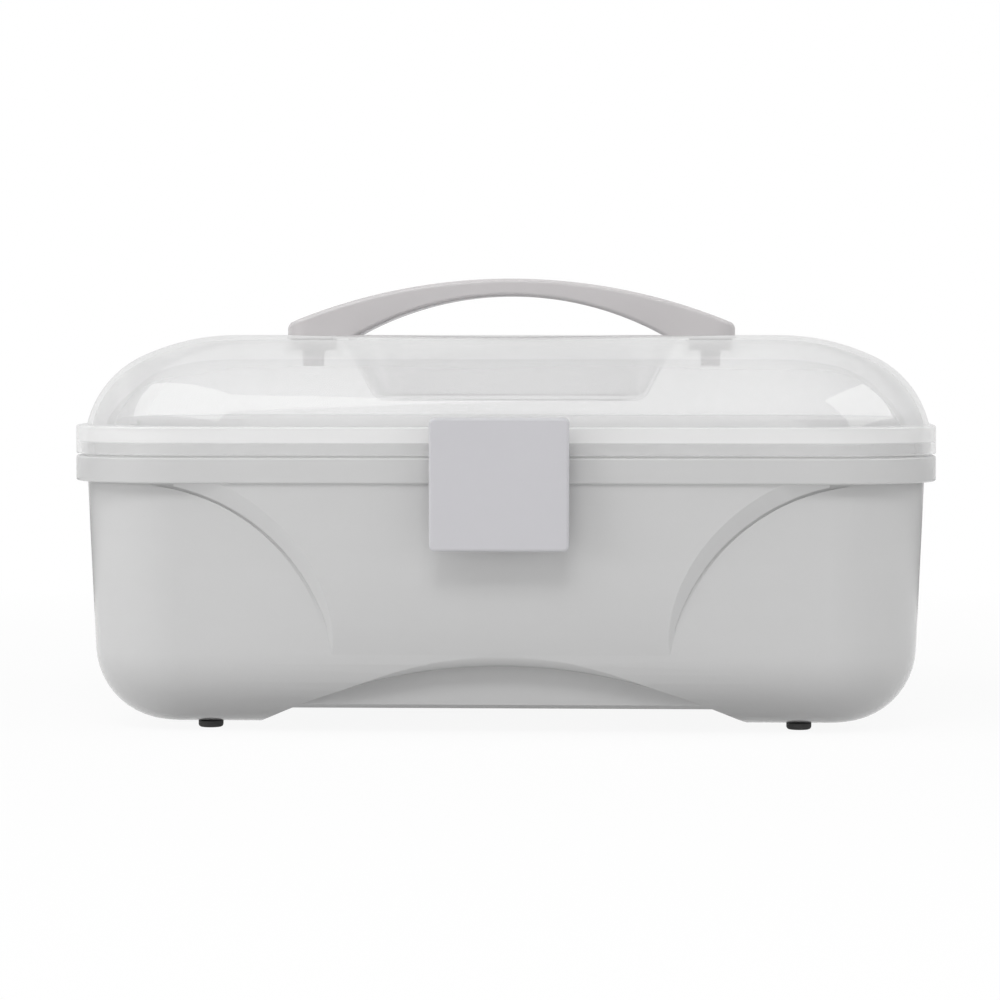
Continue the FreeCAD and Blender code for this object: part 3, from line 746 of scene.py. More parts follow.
@dataclass
class Tub:
    """The opaque tub: drafted walls, proud panels, arched recess, band, lip and knuckles."""

    rim: Rim
    floor: float = 2.7
    wall: float = 2.4
    overhang: float = 4.4
    band_wall: float = 2.0
    draft: float = 2.5
    bottom_round: float = 29.0
    round_steps: int = 12
    panel_inset: float = 1.2
    panel_knee: float = 50.0
    panel_knee_rise: float = 2.4
    panel_facets: int = 7
    scoop_radius: float = 76.8
    scoop_x: float = 139.5
    scoop_z: float = 18.5
    scoop_slope: float = 25.0
    scoop_ease: float = 2.4
    scoop_reach: float = 8.0
    crease_width: float = 1.1
    crease_depth: float = 0.8
    crease_end: float = 40.0
    arch_radius: float = 200.0
    arch_top: float = 25.9
    arch_round: float = 5.0
    kick_half_width: float = 94.0
    underside: float = 9.4
    tray_seat: float = 66.0
    rib_thickness: float = 2.4
    rib_depth: float = 7.0
    end_rib_y: float = 42.0
    side_rib_x: float = 100.0
    keeper_half: float = 20.0
    keeper_height: float = 3.2
    keeper_depth: float = 1.8
    foot_x: float = 113.0
    foot_y: float = 73.0
    stem_radius: float = 2.0

    def inset(self, height: float) -> float:
        """How far the drafted wall lies inside the rim at a height."""
        return self.overhang + (self.rim.band_bottom - height) * math.tan(math.radians(self.draft))

    def underbody(self, grow: float) -> list[Point]:
        """The wall's run down and round under the floor, taken inwards by a wall."""
        last = math.radians(90 - self.draft)
        low = self.floor + grow
        radius = self.bottom_round - grow
        knee = self.inset(low + radius * (1 - math.cos(last))) + grow
        points = []
        for step in range(self.round_steps + 1):
            turn = last * (1 - step / self.round_steps)
            tuck = radius * (math.sin(last) - math.sin(turn))
            points.append((knee + tuck, low + radius * (1 - math.cos(turn))))
        return points

    def skin(self) -> Form:
        """The outer shape, with band, groove and lip, as one solid."""
        rim = self.rim
        middle = (rim.band_bottom + rim.band_top) / 2
        lip_inner = rim.lip_inset + rim.lip_wall
        upper = rounded(
            [
                (0, middle),
                (0, rim.band_top, 0.8),
                (rim.lip_inset, rim.band_top, 0.3),
                (rim.lip_inset, rim.lip_top, 0.6),
                (lip_inner, rim.lip_top),
            ]
        )
        shelf = rim.band_top - self.band_wall
        lower = rounded(
            [
                (0, middle),
                (0, rim.band_bottom, 0.9),
                (self.band_wall, rim.band_bottom, 0.4),
                (self.band_wall, shelf),
                (self.inset(shelf), shelf),
                (self.overhang, rim.band_bottom),
            ]
        )
        top = rim.form("tub", 0, middle).follow(upper)
        bottom = rim.form("tub_lower", 0, middle).follow(lower + self.underbody(0))
        return top.weld(bottom)

    def hollow(self) -> Form:
        """The space inside the walls, up through the lip."""
        rim = self.rim
        lip_inner = rim.lip_inset + rim.lip_wall
        path = [
            (lip_inner, rim.lip_top + 2),
            (lip_inner, rim.band_top),
            (self.inset(rim.band_top) + self.wall, rim.band_top),
        ]
        return rim.solid("tub_hollow", path + self.underbody(self.wall))

    def panel_side(self, grow: float) -> list[Point]:
        """The front panel's face as (distance from the middle, height), bowed over its knee."""
        corners = []
        spring = self.floor + self.bottom_round * (1 - math.sin(math.radians(self.draft)))
        for height, rise in (
            (spring, 0.0),
            (self.panel_knee, self.panel_knee_rise),
            (self.rim.band_bottom, self.inset(self.rim.band_bottom) - self.panel_inset),
        ):
            corners.append(Vector((self.rim.half_width - self.inset(height) + rise - grow, height)))
        first, knee, last = corners
        start = knee + (first - knee) * 0.7
        end = knee + (last - knee) * 0.6
        side = [tuple(first)]
        for step in range(self.panel_facets + 1):
            share = step / self.panel_facets
            bend = start * (1 - share) ** 2 + knee * 2 * share * (1 - share) + end * share**2
            side.append(tuple(bend))
        side.append(tuple(last))
        return side

    def panels(self, grow: float, top: float) -> Form:
        """Both proud panels as one block through the tub, scooped at its four ends."""
        rim = self.rim
        line = self.panel_side(grow)
        low = line[0][1] - self.wall
        straight = rim.half_length - rim.corner
        block = Form.box("panels", (-straight, straight), (-rim.half_width, rim.half_width), (low, top))
        for (y, z), (next_y, next_z) in pairwise(line):
            for face in SIDES:
                block.slice((0, face * y, z), (0, face * (next_z - z), y - next_y))
        wall_y = rim.half_width - self.inset(self.scoop_z) - grow
        for face in SIDES:
            for side in SIDES:
                cutter = self.scoop(grow).tilt(-face * (90 + self.draft))
                block.cut(cutter.shift(side * self.scoop_x, face * wall_y, self.scoop_z))
        return block

    def scoop(self, grow: float) -> Form:
        """The round cutter that scoops a panel's end, with a sloping edge that eases into the face."""
        radius = self.scoop_radius + grow * math.tan(math.radians(self.scoop_slope / 2))
        slope = math.tan(math.radians(self.scoop_slope))
        crest = radius + self.scoop_ease / slope
        outer = crest + 14.0
        steps = [(outer, self.scoop_reach), (outer, self.scoop_ease + 2.8), (crest + 6.0, self.scoop_ease + 1.6)]
        steps += [(crest + 2.2, self.scoop_ease + 0.85), (crest, self.scoop_ease), (radius, 0.0)]
        steps.append((radius - self.scoop_reach / slope, -self.scoop_reach))
        path = [(outer - distance, depth) for distance, depth in steps]
        return Form.disc("scoop", outer, self.scoop_reach, 160).follow(path).close()

    def crease(self, side: int, face: int) -> Form:
        """The fine groove along a scoop's foot, which runs out towards the floor."""
        half = self.crease_width / 2
        ring = Form.disc("crease", self.scoop_radius + half, -self.crease_depth, 160)
        ring.follow([(0, -self.crease_depth), (0, self.scoop_ease)]).close()
        core = Form.disc("core", self.scoop_radius - half, -self.scoop_ease, 160)
        ring.cut(core.follow([(0, -self.scoop_ease), (0, 2 * self.scoop_ease)]).close())
        reach = self.rim.band_bottom - self.crease_end
        lean = self.draft - math.degrees(self.crease_depth / reach)
        ring.tilt(-face * (90 + lean))
        rise = self.crease_end - self.scoop_z
        wall_y = self.rim.half_width - self.inset(self.crease_end) + self.crease_depth
        ring.shift(side * self.scoop_x, face * (wall_y - rise * math.tan(math.radians(lean))), self.scoop_z)
        ring.slice((0, 0, self.rim.band_bottom - 0.1), (0, 0, 1))
        return ring.slice((0, 0, self.crease_end), (0, 0, -1))

    def arch(self, grow: float, face: int) -> Form:
        """The cutter of the arched recess, flared out to the face."""
        radius = self.arch_radius + grow
        flare = 0.0 if grow else self.arch_round
        surface = self.rim.half_width - self.inset(self.arch_top + self.arch_round)
        back = self.kick_half_width - grow
        outside = self.rim.half_width + 6
        path = [(0.0, outside)]
        if flare:
            steps = 8
            for step in range(steps + 1):
                turn = math.pi / 2 * step / steps
                path.append((flare * math.sin(turn), surface - flare * (1 - math.cos(turn))))
        path.append((flare, back))
        form = Form.disc("arch", radius + flare, outside, 512).follow(path).close()
        form.turn("Y" if face > 0 else "-Y")
        return form.shift(0, 0, self.arch_top - self.arch_radius)

    def channel(self, grow: float) -> Form:
        """The cutter of the raised underside between the feet."""
        radius = self.arch_radius + grow
        reach = self.kick_half_width + 2 if not grow else self.kick_half_width - grow + 2
        form = Form.disc("channel", radius, -reach, 512).follow([(0, -reach), (0, reach)]).close()
        form.turn("Y").shift(0, 0, self.arch_top - self.arch_radius)
        return form.slice((0, 0, self.underside + grow), (0, 0, 1))

    def ribs(self) -> list[Form]:
        """Upright ribs inside that carry the tray."""
        inner = self.inset(self.tray_seat) + self.wall
        end_x = self.rim.half_length - inner - self.rib_depth
        side_y = self.rim.half_width - inner - self.rib_depth
        half = self.rib_thickness / 2
        made = []
        for side in SIDES:
            for face in SIDES:
                y = face * self.end_rib_y
                x = side * self.side_rib_x
                heights = (self.floor, self.tray_seat)
                made.append(Form.box("rib", (side * end_x, side * self.rim.half_length), (y - half, y + half), heights))
                made.append(Form.box("rib", (x - half, x + half), (face * side_y, face * self.rim.half_width), heights))
        return made

    def knuckles(self) -> list[Form]:
        """The outer knuckles of both hinges, on the band's back."""
        rim = self.rim
        foot = rim.band_bottom + 0.2
        top = rim.band_top - 0.2
        made = []
        reach = math.hypot(rim.hinge_y - rim.half_width, rim.hinge_z - foot)
        heading = math.atan2(rim.hinge_z - foot, rim.hinge_y - rim.half_width)
        lean = heading - math.asin(rim.hinge_radius / reach)
        for side in SIDES:
            for end in SIDES:
                near = side * rim.hinge_x + end * (rim.knuckle_width / 2 + rim.knuckle_gap)
                x = sorted((near, near + end * rim.knuckle_width))
                web = Form.box("web", x, (rim.half_width - 1, rim.hinge_y + 3), (foot - 3, top))
                web.slice((0, rim.half_width, foot), (0, math.sin(lean), -math.cos(lean)))
                web.slice((0, rim.half_width, foot), (0, 0, -1))
                web.slice((0, rim.hinge_y, 0), (0, 1, 0))
                made.append(web)
                made.append(Form.rod("knuckle", rim.hinge_y, rim.hinge_z, rim.hinge_radius, x, 0.5))
        return made

    def build(self, finish: Plastic) -> None:
        """Makes the tub and dresses it."""
        rim = self.rim
        body = self.skin()
        body.add(self.panels(0, rim.band_top - 1))
        body.cut(self.channel(0), *[self.arch(0, face) for face in SIDES])
        hollow = self.hollow()
        hollow.add(self.panels(self.wall, rim.band_bottom))
        hollow.cut(self.channel(self.wall), *[self.arch(self.wall, face) for face in SIDES])
        hollow.cut(*self.ribs())
        body.cut(hollow)
        front = -rim.half_width
        keeper = Form.box(
            "keeper",
            (-self.keeper_half, self.keeper_half),
            (front - self.keeper_depth, front + 1),
            (rim.band_bottom, rim.band_bottom + self.keeper_height),
        )
        body.cut(*[self.crease(side, face) for side in SIDES for face in SIDES])
        keeper.soften(0.5, 3, lambda edge: all(vert.co.y < (front - 1) * MM for vert in edge.verts))
        body.add(keeper, *self.knuckles())
        for side in SIDES:
            reach = 2 * rim.knuckle_width
            x = (side * rim.hinge_x - reach, side * rim.hinge_x + reach)
            body.cut(Form.rod("bore", rim.hinge_y, rim.hinge_z, rim.hinge_pin_radius + 0.06, x))
        for side in SIDES:
            for face in SIDES:
                hole = Form.disc("hole", self.stem_radius + 0.06, 0, 32).follow([(0, 0), (0, 8)]).close()
                body.cut(hole.shift(side * self.foot_x, face * self.foot_y, 0))
        dress(body.finish(20.0), finish.material(), "base", "tub", "base_tub")


@dataclass
class Lid:
    """The milky lid: flange, skirt, dome, hand well, handle seats, knuckles and lugs."""

    rim: Rim
    wall: float = 2.0
    skirt_bottom: float = 105.6
    dome_inset: float = 1.2
    dome_corner: float = 62.0
    dome_lean: float = 13.6
    crown_radius: float = 85.3
    shoulder_turn: float = 64.8
    dome_steps: int = 26
    bearing_wall: float = 1.8
    well_half_length: float = 65.0
    well_half_width: float = 36.0
    well_depth: float = 24.0
    well_slope: float = 27.0
    well_corner: float = 18.0
    seat: float = 149.5
    seat_gap: float = 0.2
    slot_gap: float = 0.3
    socket_floor: float = 144.5
    tongue_x: float = 79.8
    tongue_half_length: float = 8.5
    tongue_half_width: float = 8.0
    hook_half_length: float = 3.75
    hook_reach: float = 6.25
    handle_half_length: float = 89.6
    handle_half_width: float = 13.0
    handle_inner_half: float = 62.7
    handle_corner: float = 8.0
    lug_radius: float = 2.6

    def shoulder_radius(self) -> float:
        """Radius of the dome's lower curve."""
        lean, turn = math.radians(self.dome_lean), math.radians(self.shoulder_turn)
        rise = self.rim.lid_top - self.rim.flange_top
        return (rise - self.crown_radius * (1 - math.sin(turn))) / (math.sin(turn) - math.sin(lean))

    def dome_point(self, angle: float) -> Point:
        """Inset and height of the dome's side where its slope has turned to an angle in degrees."""
        lean, turn, here = (math.radians(part) for part in (self.dome_lean, self.shoulder_turn, angle))
        lower = min(here, turn)
        inset = self.shoulder_radius() * (math.cos(lean) - math.cos(lower))
        height = self.shoulder_radius() * (math.sin(lower) - math.sin(lean))
        if here > turn:
            inset += self.crown_radius * (math.cos(turn) - math.cos(here))
            height += self.crown_radius * (math.sin(here) - math.sin(turn))
        return inset, height

    def dome(self, wall: float) -> Form:
        """The dome as a solid, or its hollow when a wall is given."""
        path = []
        for step in range(self.dome_steps + 1):
            angle = self.dome_lean + (90 - self.dome_lean) * step / self.dome_steps
            inset, height = self.dome_point(angle)
            slope = math.radians(angle)
            path.append((inset + wall * math.cos(slope), self.rim.flange_top + height - wall * math.sin(slope)))
        inset = path[0][0]
        path.insert(0, (inset, self.rim.flange_top - self.wall - 1))
        level = self.dome_inset + inset
        start = Form.sheet(
            "dome",
            self.rim.half_length - level,
            self.rim.half_width - level,
            self.dome_corner - inset,
            path[0][1],
        )
        return start.follow(path).close()

    def flange(self) -> Form:
        """The flange and the skirt as a solid slab with rounded edges."""
        rim = self.rim
        middle = (self.skirt_bottom + rim.flange_top) / 2
        upper = rounded([(0, middle), (0, rim.flange_top, 0.7), (6, rim.flange_top)])
        lower = rounded([(0, middle), (0, self.skirt_bottom, 0.5), (6, self.skirt_bottom)])
        return rim.form("lid", 0, middle).follow(upper).weld(rim.form("skirt", 0, middle).follow(lower))

    def mouth(self) -> Form:
        """The room under the flange, with the bearing rib left standing."""
        rim = self.rim
        under = rim.flange_top - self.wall
        rib = rim.lip_inset + (rim.lip_wall - self.bearing_wall) / 2
        rib_low = rim.lip_top + self.slot_gap
        path = [
            (self.wall, self.skirt_bottom - 2),
            (self.wall, under),
            (rib, under),
            (rib, rib_low),
            (rib + self.bearing_wall, rib_low),
            (rib + self.bearing_wall, under),
        ]
        return rim.solid("mouth", path)

    def well(self, grow: float, high: float) -> Form:
        """The tapered hand well, or its outside when grown by the wall."""
        spread = math.tan(math.radians(self.well_slope))
        top = self.rim.lid_top
        low = top - self.well_depth - grow
        start = -(high - top) * spread
        flare = 0.0 if grow else 1.6
        path = [(0.0, high)]
        if flare:
            path = rounded([(0.0, high), (flare, top, 2.2), (flare + (top - low) * spread, low, 5.0), (80, low)])
            path = [point for point in path if point[0] < 34] + [(32.0, low)]
            base = -flare
        else:
            path = rounded([(0.0, high), ((high - low) * spread, low, 7.0), (80, low)])
            path = [point for point in path if point[0] < 34] + [(32.0, low)]
            base = (top - high) * spread - grow
        form = Form.sheet(
            "well",
            self.well_half_length - base,
            self.well_half_width - base,
            max(self.well_corner - base, self.well_corner),
            high,
        )
        return form.follow(path).close()

    def pads(self, grow: float, low: float, high: float) -> list[Form]:
        """Blocks under both handle ends, with their round outline."""
        margin = self.slot_gap + grow
        made = []
        for side in SIDES:
            form = Form.sheet(
                "pad",
                self.handle_half_length + margin,
                self.handle_half_width + margin,
                self.handle_corner + grow,
                low,
            )
            form.follow([(0, low), (0, high)]).close()
            made.append(form.slice((side * (self.handle_inner_half - margin), 0, 0), (-side, 0, 0)))
        return made

    def sockets(self, half_x: float, half_y: float, low: float, high: float) -> list[Form]:
        """Upright blocks where the handle's tongues go in."""
        made = []
        for side in SIDES:
            x = side * self.tongue_x
            block = Form.box("socket", (x - half_x, x + half_x), (-half_y, half_y), (low, high))
            made.append(block.soften(0.6, 2, lambda edge: abs(edge.verts[0].co.z - edge.verts[1].co.z) > 1e-4))
        return made

    def knuckles(self) -> list[Form]:
        """The middle knuckle of each hinge."""
        rim = self.rim
        root = rim.flange_top - self.wall
        made = []
        reach = math.hypot(rim.hinge_y - rim.half_width, root - rim.hinge_z)
        heading = math.atan2(root - rim.hinge_z, rim.hinge_y - rim.half_width)
        lean = heading - math.asin(rim.hinge_radius / reach)
        for side in SIDES:
            x = (side * rim.hinge_x - rim.knuckle_width / 2, side * rim.hinge_x + rim.knuckle_width / 2)
            web = Form.box("web", x, (rim.half_width - 1, rim.hinge_y + 3), (self.skirt_bottom + 0.2, root))
            web.slice((0, rim.half_width, root), (0, math.sin(lean), math.cos(lean)))
            web.slice((0, rim.hinge_y, 0), (0, 1, 0))
            made.append(web)
            made.append(Form.rod("knuckle", rim.hinge_y, rim.hinge_z, rim.hinge_radius, x, 0.5))
        return made

    def lugs(self) -> list[Form]:
        """The two lugs that hold the latch's pin."""
        rim = self.rim
        root = self.skirt_bottom + self.wall
        front = -rim.half_width
        made = []
        reach = math.hypot(rim.latch_y - front, rim.latch_z - root)
        heading = math.atan2(rim.latch_z - root, front - rim.latch_y)
        lean = heading - math.asin(self.lug_radius / reach)
        for side in SIDES:
            middle = side * rim.latch_lug_x
            x = (middle - rim.latch_lug_width / 2, middle + rim.latch_lug_width / 2)
            web = Form.box("web", x, (rim.latch_y - 3, front + 1), (root - 3, rim.flange_top))
            web.slice((0, front, root), (0, -math.sin(lean), -math.cos(lean)))
            web.slice((0, front, root), (0, 0, -1))
            web.slice((0, rim.latch_y, 0), (0, -1, 0))
            made.append(web)
            made.append(Form.rod("lug", rim.latch_y, rim.latch_z, self.lug_radius, x, 0.4))
        return made

    def build(self, finish: MilkyPlastic) -> None:
        """Makes the lid and dresses it."""
        rim = self.rim
        body = self.flange()
        body.add(self.dome(0))
        room = self.mouth()
        room.add(self.dome(self.wall))
        body.cut(room)
        seat_low = self.seat - self.seat_gap
        half_x = self.tongue_half_length + self.slot_gap
        half_y = self.tongue_half_width + self.slot_gap
        body.add(self.well(self.wall, rim.lid_top - self.wall / 2))
        body.add(*self.pads(self.wall, seat_low - self.wall, rim.lid_top - self.wall / 2))
        body.add(*self.sockets(half_x + self.wall, half_y + self.wall, self.socket_floor - self.wall, seat_low))
        body.cut(self.well(0, rim.lid_top + 1))
        body.cut(*self.pads(0, seat_low, rim.lid_top + 2))
        body.cut(*self.sockets(half_x, half_y, self.socket_floor, self.seat))
        slot_x = self.hook_half_length + self.slot_gap
        slot_y = self.hook_reach + self.slot_gap
        body.cut(*self.sockets(slot_x, slot_y, self.socket_floor - 2 * self.wall, self.socket_floor + 1))
        body.add(*self.knuckles(), *self.lugs())
        for side in SIDES:
            reach = 2 * rim.knuckle_width
            x = (side * rim.hinge_x - reach, side * rim.hinge_x + reach)
            body.cut(Form.rod("bore", rim.hinge_y, rim.hinge_z, rim.hinge_pin_radius + 0.06, x))
        reach = rim.latch_lug_x + rim.latch_lug_width
        body.cut(Form.rod("bore", rim.latch_y, rim.latch_z, rim.latch_pin_radius + 0.03, (-reach, reach)))
        dress(body.finish(), finish.material(), "lid", "lid", "lid")


@dataclass
class Handle:
    """The bowed strap with its two tongues and four snap hooks."""

    half_length: float = 89.6
    half_width: float = 13.0
    corner: float = 8.0
    seat: float = 149.5
    tip: float = 155.1
    apex: float = 173.2
    inner_half: float = 62.7
    thickness: float = 7.0
    edge_round: float = 1.8
    tongue_x: float = 79.8
    tongue_half_length: float = 8.5
    tongue_half_width: float = 8.0
    socket_floor: float = 144.5
    lid_wall: float = 2.0
    hook_half_length: float = 3.75
    hook_inner: float = 3.4
    hook_outer: float = 5.6
    hook_barb: float = 1.3
    barb_height: float = 4.0

    def barrel(self, name: str, half: float, low: float, high: float, half_width: float) -> Form:
        """A drum across the box whose top passes through an arc's apex and ends."""
        rise = high - low
        radius = (half**2 + rise**2) / (2 * rise)
        drum = Form.disc(name, radius, -half_width, 720).follow([(0, -half_width), (0, half_width)]).close()
        return drum.turn("Y").shift(0, 0, high - radius)

    def hook(self, x: float, face: int) -> Form:
        """A springy leg with a barb that catches under the socket's floor."""
        catch = self.socket_floor - self.lid_wall - 0.2
        tip = catch - self.barb_height
        across = (x - self.hook_half_length, x + self.hook_half_length)
        barb = Form.box("barb", across, (face * self.hook_inner, face * (self.hook_outer + self.hook_barb)), (tip, catch))
        barb.slice((0, face * self.hook_outer, tip), (0, face * self.barb_height, -self.hook_barb))
        leg = Form.box("leg", across, (face * self.hook_inner, face * self.hook_outer), (catch - 1, self.socket_floor + 1))
        return barb.add(leg)

    def build(self, finish: Plastic) -> None:
        """Makes the handle and dresses it."""
        plan = Form.sheet("handle", self.half_length, self.half_width, self.corner, self.seat)
        plan.follow([(0, self.seat), (0, self.apex + 1)]).close()
        plan.keep(self.barrel("outer_bow", self.half_length, self.tip, self.apex, self.half_width + 3))
        inner_apex = self.apex - self.thickness
        plan.cut(self.barrel("inner_bow", self.inner_half, self.seat, inner_apex, self.half_width + 5))
        above = (self.seat + 0.05) * MM

        def bow_edge(edge: bmesh.types.BMEdge) -> bool:
            """Edges above the seat where two faces meet sharply."""
            high = any(vert.co.z > above for vert in edge.verts)
            return high and len(edge.link_faces) == 2 and edge.calc_face_angle(0.0) > math.radians(30)

        plan.edit()
        bpy.ops.mesh.select_all(action="SELECT")
        bpy.ops.mesh.remove_doubles(threshold=3e-4)
        plan.soften(self.edge_round, 5, bow_edge, clamp=False)
        for side in SIDES:
            x = side * self.tongue_x
            tongue = Form.box(
                "tongue",
                (x - self.tongue_half_length, x + self.tongue_half_length),
                (-self.tongue_half_width, self.tongue_half_width),
                (self.socket_floor + 0.2, self.seat + 1),
            )
            plan.add(tongue, *[self.hook(x, face) for face in SIDES])
        dress(plan.finish(), finish.material(), "lid", "handle", "handle")


@dataclass
class Latch:
    """The square latch plate with its barrel, stiffening ribs and hook."""

    rim: Rim
    half: float = 26.1
    top: float = 120.1
    bottom: float = 70.4
    thickness: float = 3.0
    edge_round: float = 1.3
    corner: float = 2.0
    barrel_radius: float = 3.0
    rib_inset: float = 4.5
    rib_wall: float = 1.8
    hook_half: float = 22.0
    hook_height: float = 2.7
    keeper_half: float = 20.0
    keeper_height: float = 3.2
    keeper_depth: float = 1.8
    gap: float = 0.5

    def build(self, finish: Plastic) -> None:
        """Makes the latch and dresses it."""
        rim = self.rim
        back = rim.latch_y - self.barrel_radius
        front = back - self.thickness
        plate = Form.box("latch", (-self.half, self.half), (front, back), (self.bottom, self.top))
        plate.soften(self.corner, 5, lambda edge: abs(edge.verts[0].co.y - edge.verts[1].co.y) > 1e-3)
        plate.soften(self.edge_round, 4, lambda edge: all(vert.co.y < (front + 0.1) * MM for vert in edge.verts))
        barrel_half = rim.latch_lug_x - rim.latch_lug_width / 2 - 0.3
        inside = back - self.thickness / 2
        ribs_back = -rim.half_width - 0.2
        low = self.bottom + self.rib_inset
        high = rim.latch_z - 2.6 - self.rib_inset
        outer = self.half - self.rib_inset
        inner = outer - self.rib_wall
        relief = rim.band_bottom + self.keeper_height + self.gap
        pieces = [
            Form.rod("barrel", rim.latch_y, rim.latch_z, self.barrel_radius, (-barrel_half, barrel_half), 0.4),
            Form.box("neck", (-barrel_half, barrel_half), (inside, rim.latch_y), (rim.latch_z - self.barrel_radius, rim.latch_z)),
            Form.box("rib", (-outer, outer), (inside, ribs_back), (low, low + self.rib_wall)),
            Form.box("rib", (-outer, outer), (inside, ribs_back), (relief, relief + self.rib_wall)),
        ]
        for side in SIDES:
            pieces.append(Form.box("rib", (side * inner, side * outer), (inside, ribs_back), (low, high)))
        hook_top = rim.band_bottom - self.gap
        hook_tip = -rim.half_width + self.gap
        hook = Form.box("hook", (-self.hook_half, self.hook_half), (inside, hook_tip), (hook_top - 2 * self.hook_height, hook_top))
        run = hook_tip - back
        hook.slice((0, back, hook_top - 2 * self.hook_height), (0, self.hook_height, -run))
        pieces.append(hook)
        plate.add(*pieces)
        room = Form.box(
            "keeper_room",
            (-self.keeper_half - self.gap, self.keeper_half + self.gap),
            (-rim.half_width - self.keeper_depth - self.gap, 0),
            (hook_top, relief),
        )
        reach = rim.latch_lug_x
        bore = Form.rod("bore", rim.latch_y, rim.latch_z, rim.latch_pin_radius + 0.06, (-reach, reach))
        plate.cut(room, bore)
        dress(plate.finish(), finish.material(), "latch", "latch", "latch")


@dataclass
class Tray:
    """The lift-out tray with its fixed walls, rails and two loose dividers."""

    rim: Rim
    tub: Tub
    bottom: float = 66.2
    top: float = 98.2
    wall: float = 1.6
    ease: float = 3.0
    gap: float = 1.8
    rim_reach: float = 0.8
    rim_height: float = 3.0
    spine_y: float = 14.0
    cross_x: float = 52.0
    wall_drop: float = 3.0
    notch_radius: float = 13.0
    divider_x: float = 56.0
    divider_thickness: float = 1.6
    rail_depth: float = 2.2
    rail_thickness: float = 1.2
    slot_gap: float = 0.3

    def level(self, grow: float, height: float) -> float:
        """The tray's inset from the rim at a height."""
        return self.tub.inset(height) + self.tub.wall + self.gap + grow

    def front_y(self, height: float) -> float:
        """Inner face of the front wall at a height."""
        return -(self.rim.half_width - self.level(self.wall, height))

    def shell(self, grow: float, low: float, high: float) -> Form:
        """The drafted body, or its hollow, with a rounded bottom edge."""
        ease = self.ease - grow / 2
        path = rounded([(self.level(grow, high), high), (self.level(grow, low), low, ease), (self.level(grow, low) + 12, low)])
        return self.rim.solid("tray_shell", path)

    def build(self, finish: Plastic) -> None:
        """Makes the tray and its dividers and dresses them."""
        rim = self.rim
        floor = self.bottom + self.wall
        body = self.shell(0, self.bottom, self.top - 0.5)
        rim_low = self.top - self.rim_height
        edge = self.level(-self.rim_reach, self.top)
        lip = rim.form("tray_rim", edge, rim_low + 1).follow(
            rounded([(edge, rim_low + 1), (edge, self.top, 0.6), (edge + 8, self.top)])
        )
        under = rim.form("tray_under", edge, rim_low + 1).follow(
            rounded([(edge, rim_low + 1), (edge, rim_low, 0.4), (edge + 8, rim_low)])
        )
        body.add(lip.weld(under))
        hollow = self.shell(self.wall, floor, self.top + 1)
        body.cut(hollow)
        inner_top = self.top - self.wall_drop
        far = rim.half_width
        walls = Form.box("spine", (-rim.half_length, rim.half_length), (self.spine_y, self.spine_y + self.wall), (floor - 0.8, inner_top))
        parts = []
        for side in SIDES:
            x = side * self.cross_x
            parts.append(Form.box("cross", (x - self.wall / 2, x + self.wall / 2), (self.spine_y + 0.5, far), (floor - 0.8, inner_top)))
            parts += self.rails(side * self.divider_x, floor, inner_top)
        walls.add(*parts)
        walls.keep(self.shell(self.wall / 2, self.bottom + self.wall / 2, self.top))
        body.add(walls)
        ends = rim.half_length - self.level(2 * self.wall + self.ease, self.top)
        for side in SIDES:
            notch = Form.rod("notch", 0, self.top, self.notch_radius, (side * ends, side * rim.half_length), 0.0, 72)
            body.cut(notch)
        dress(body.finish(), finish.material(), "tray", "tray", "inner_tray")
        for side, name in zip(SIDES, ("left", "right")):
            self.divider(side, "tray_divider_" + name, finish)

    def rails(self, x: float, floor: float, high: float) -> list[Form]:
        """Four upright rails that hold a divider's two edges."""
        made = []
        slot_half = self.divider_thickness / 2 + self.slot_gap
        front = self.front_y(floor)
        for side in SIDES:
            span = (x + side * slot_half, x + side * (slot_half + self.rail_thickness))
            made.append(Form.box("rail", span, (-self.rim.half_width, front + self.rail_depth), (floor - 0.8, high)))
            made.append(Form.box("rail", span, (self.spine_y - self.rail_depth, self.spine_y + 0.5), (floor - 0.8, high)))
        return made

    def divider(self, side: int, name: str, finish: Plastic) -> None:
        """Makes one loose divider plate, with a thumb notch in its top."""
        x = side * self.divider_x
        low = self.bottom + self.wall + 0.2
        high = self.top - self.wall_drop
        lift = self.ease - self.wall / 2
        half = self.divider_thickness / 2
        front_low = self.front_y(low) + self.slot_gap
        front_high = self.front_y(high) + self.slot_gap
        back = self.spine_y - self.slot_gap
        plate = Form.box(name, (x - half, x + half), (front_high - 1, back), (low, high))
        lean = math.atan2(front_low - front_high, high - low)
        plate.slice((0, front_high, high), (0, -math.cos(lean), -math.sin(lean)))
        plate.slice((0, front_low + lift, low), (0, -lift, -lift))
        notch = Form.rod("notch", (front_high + back) / 2, high + self.notch_radius / 2, self.notch_radius, (x - 3, x + 3), 0.0, 72)
        plate.cut(notch)
        plate.soften(0.3, 2, lambda edge: edge.calc_face_angle(0.0) > math.radians(40))
        body = name.replace("tray_", "")
        dress(plate.finish(), finish.material(), body, "tray", name)


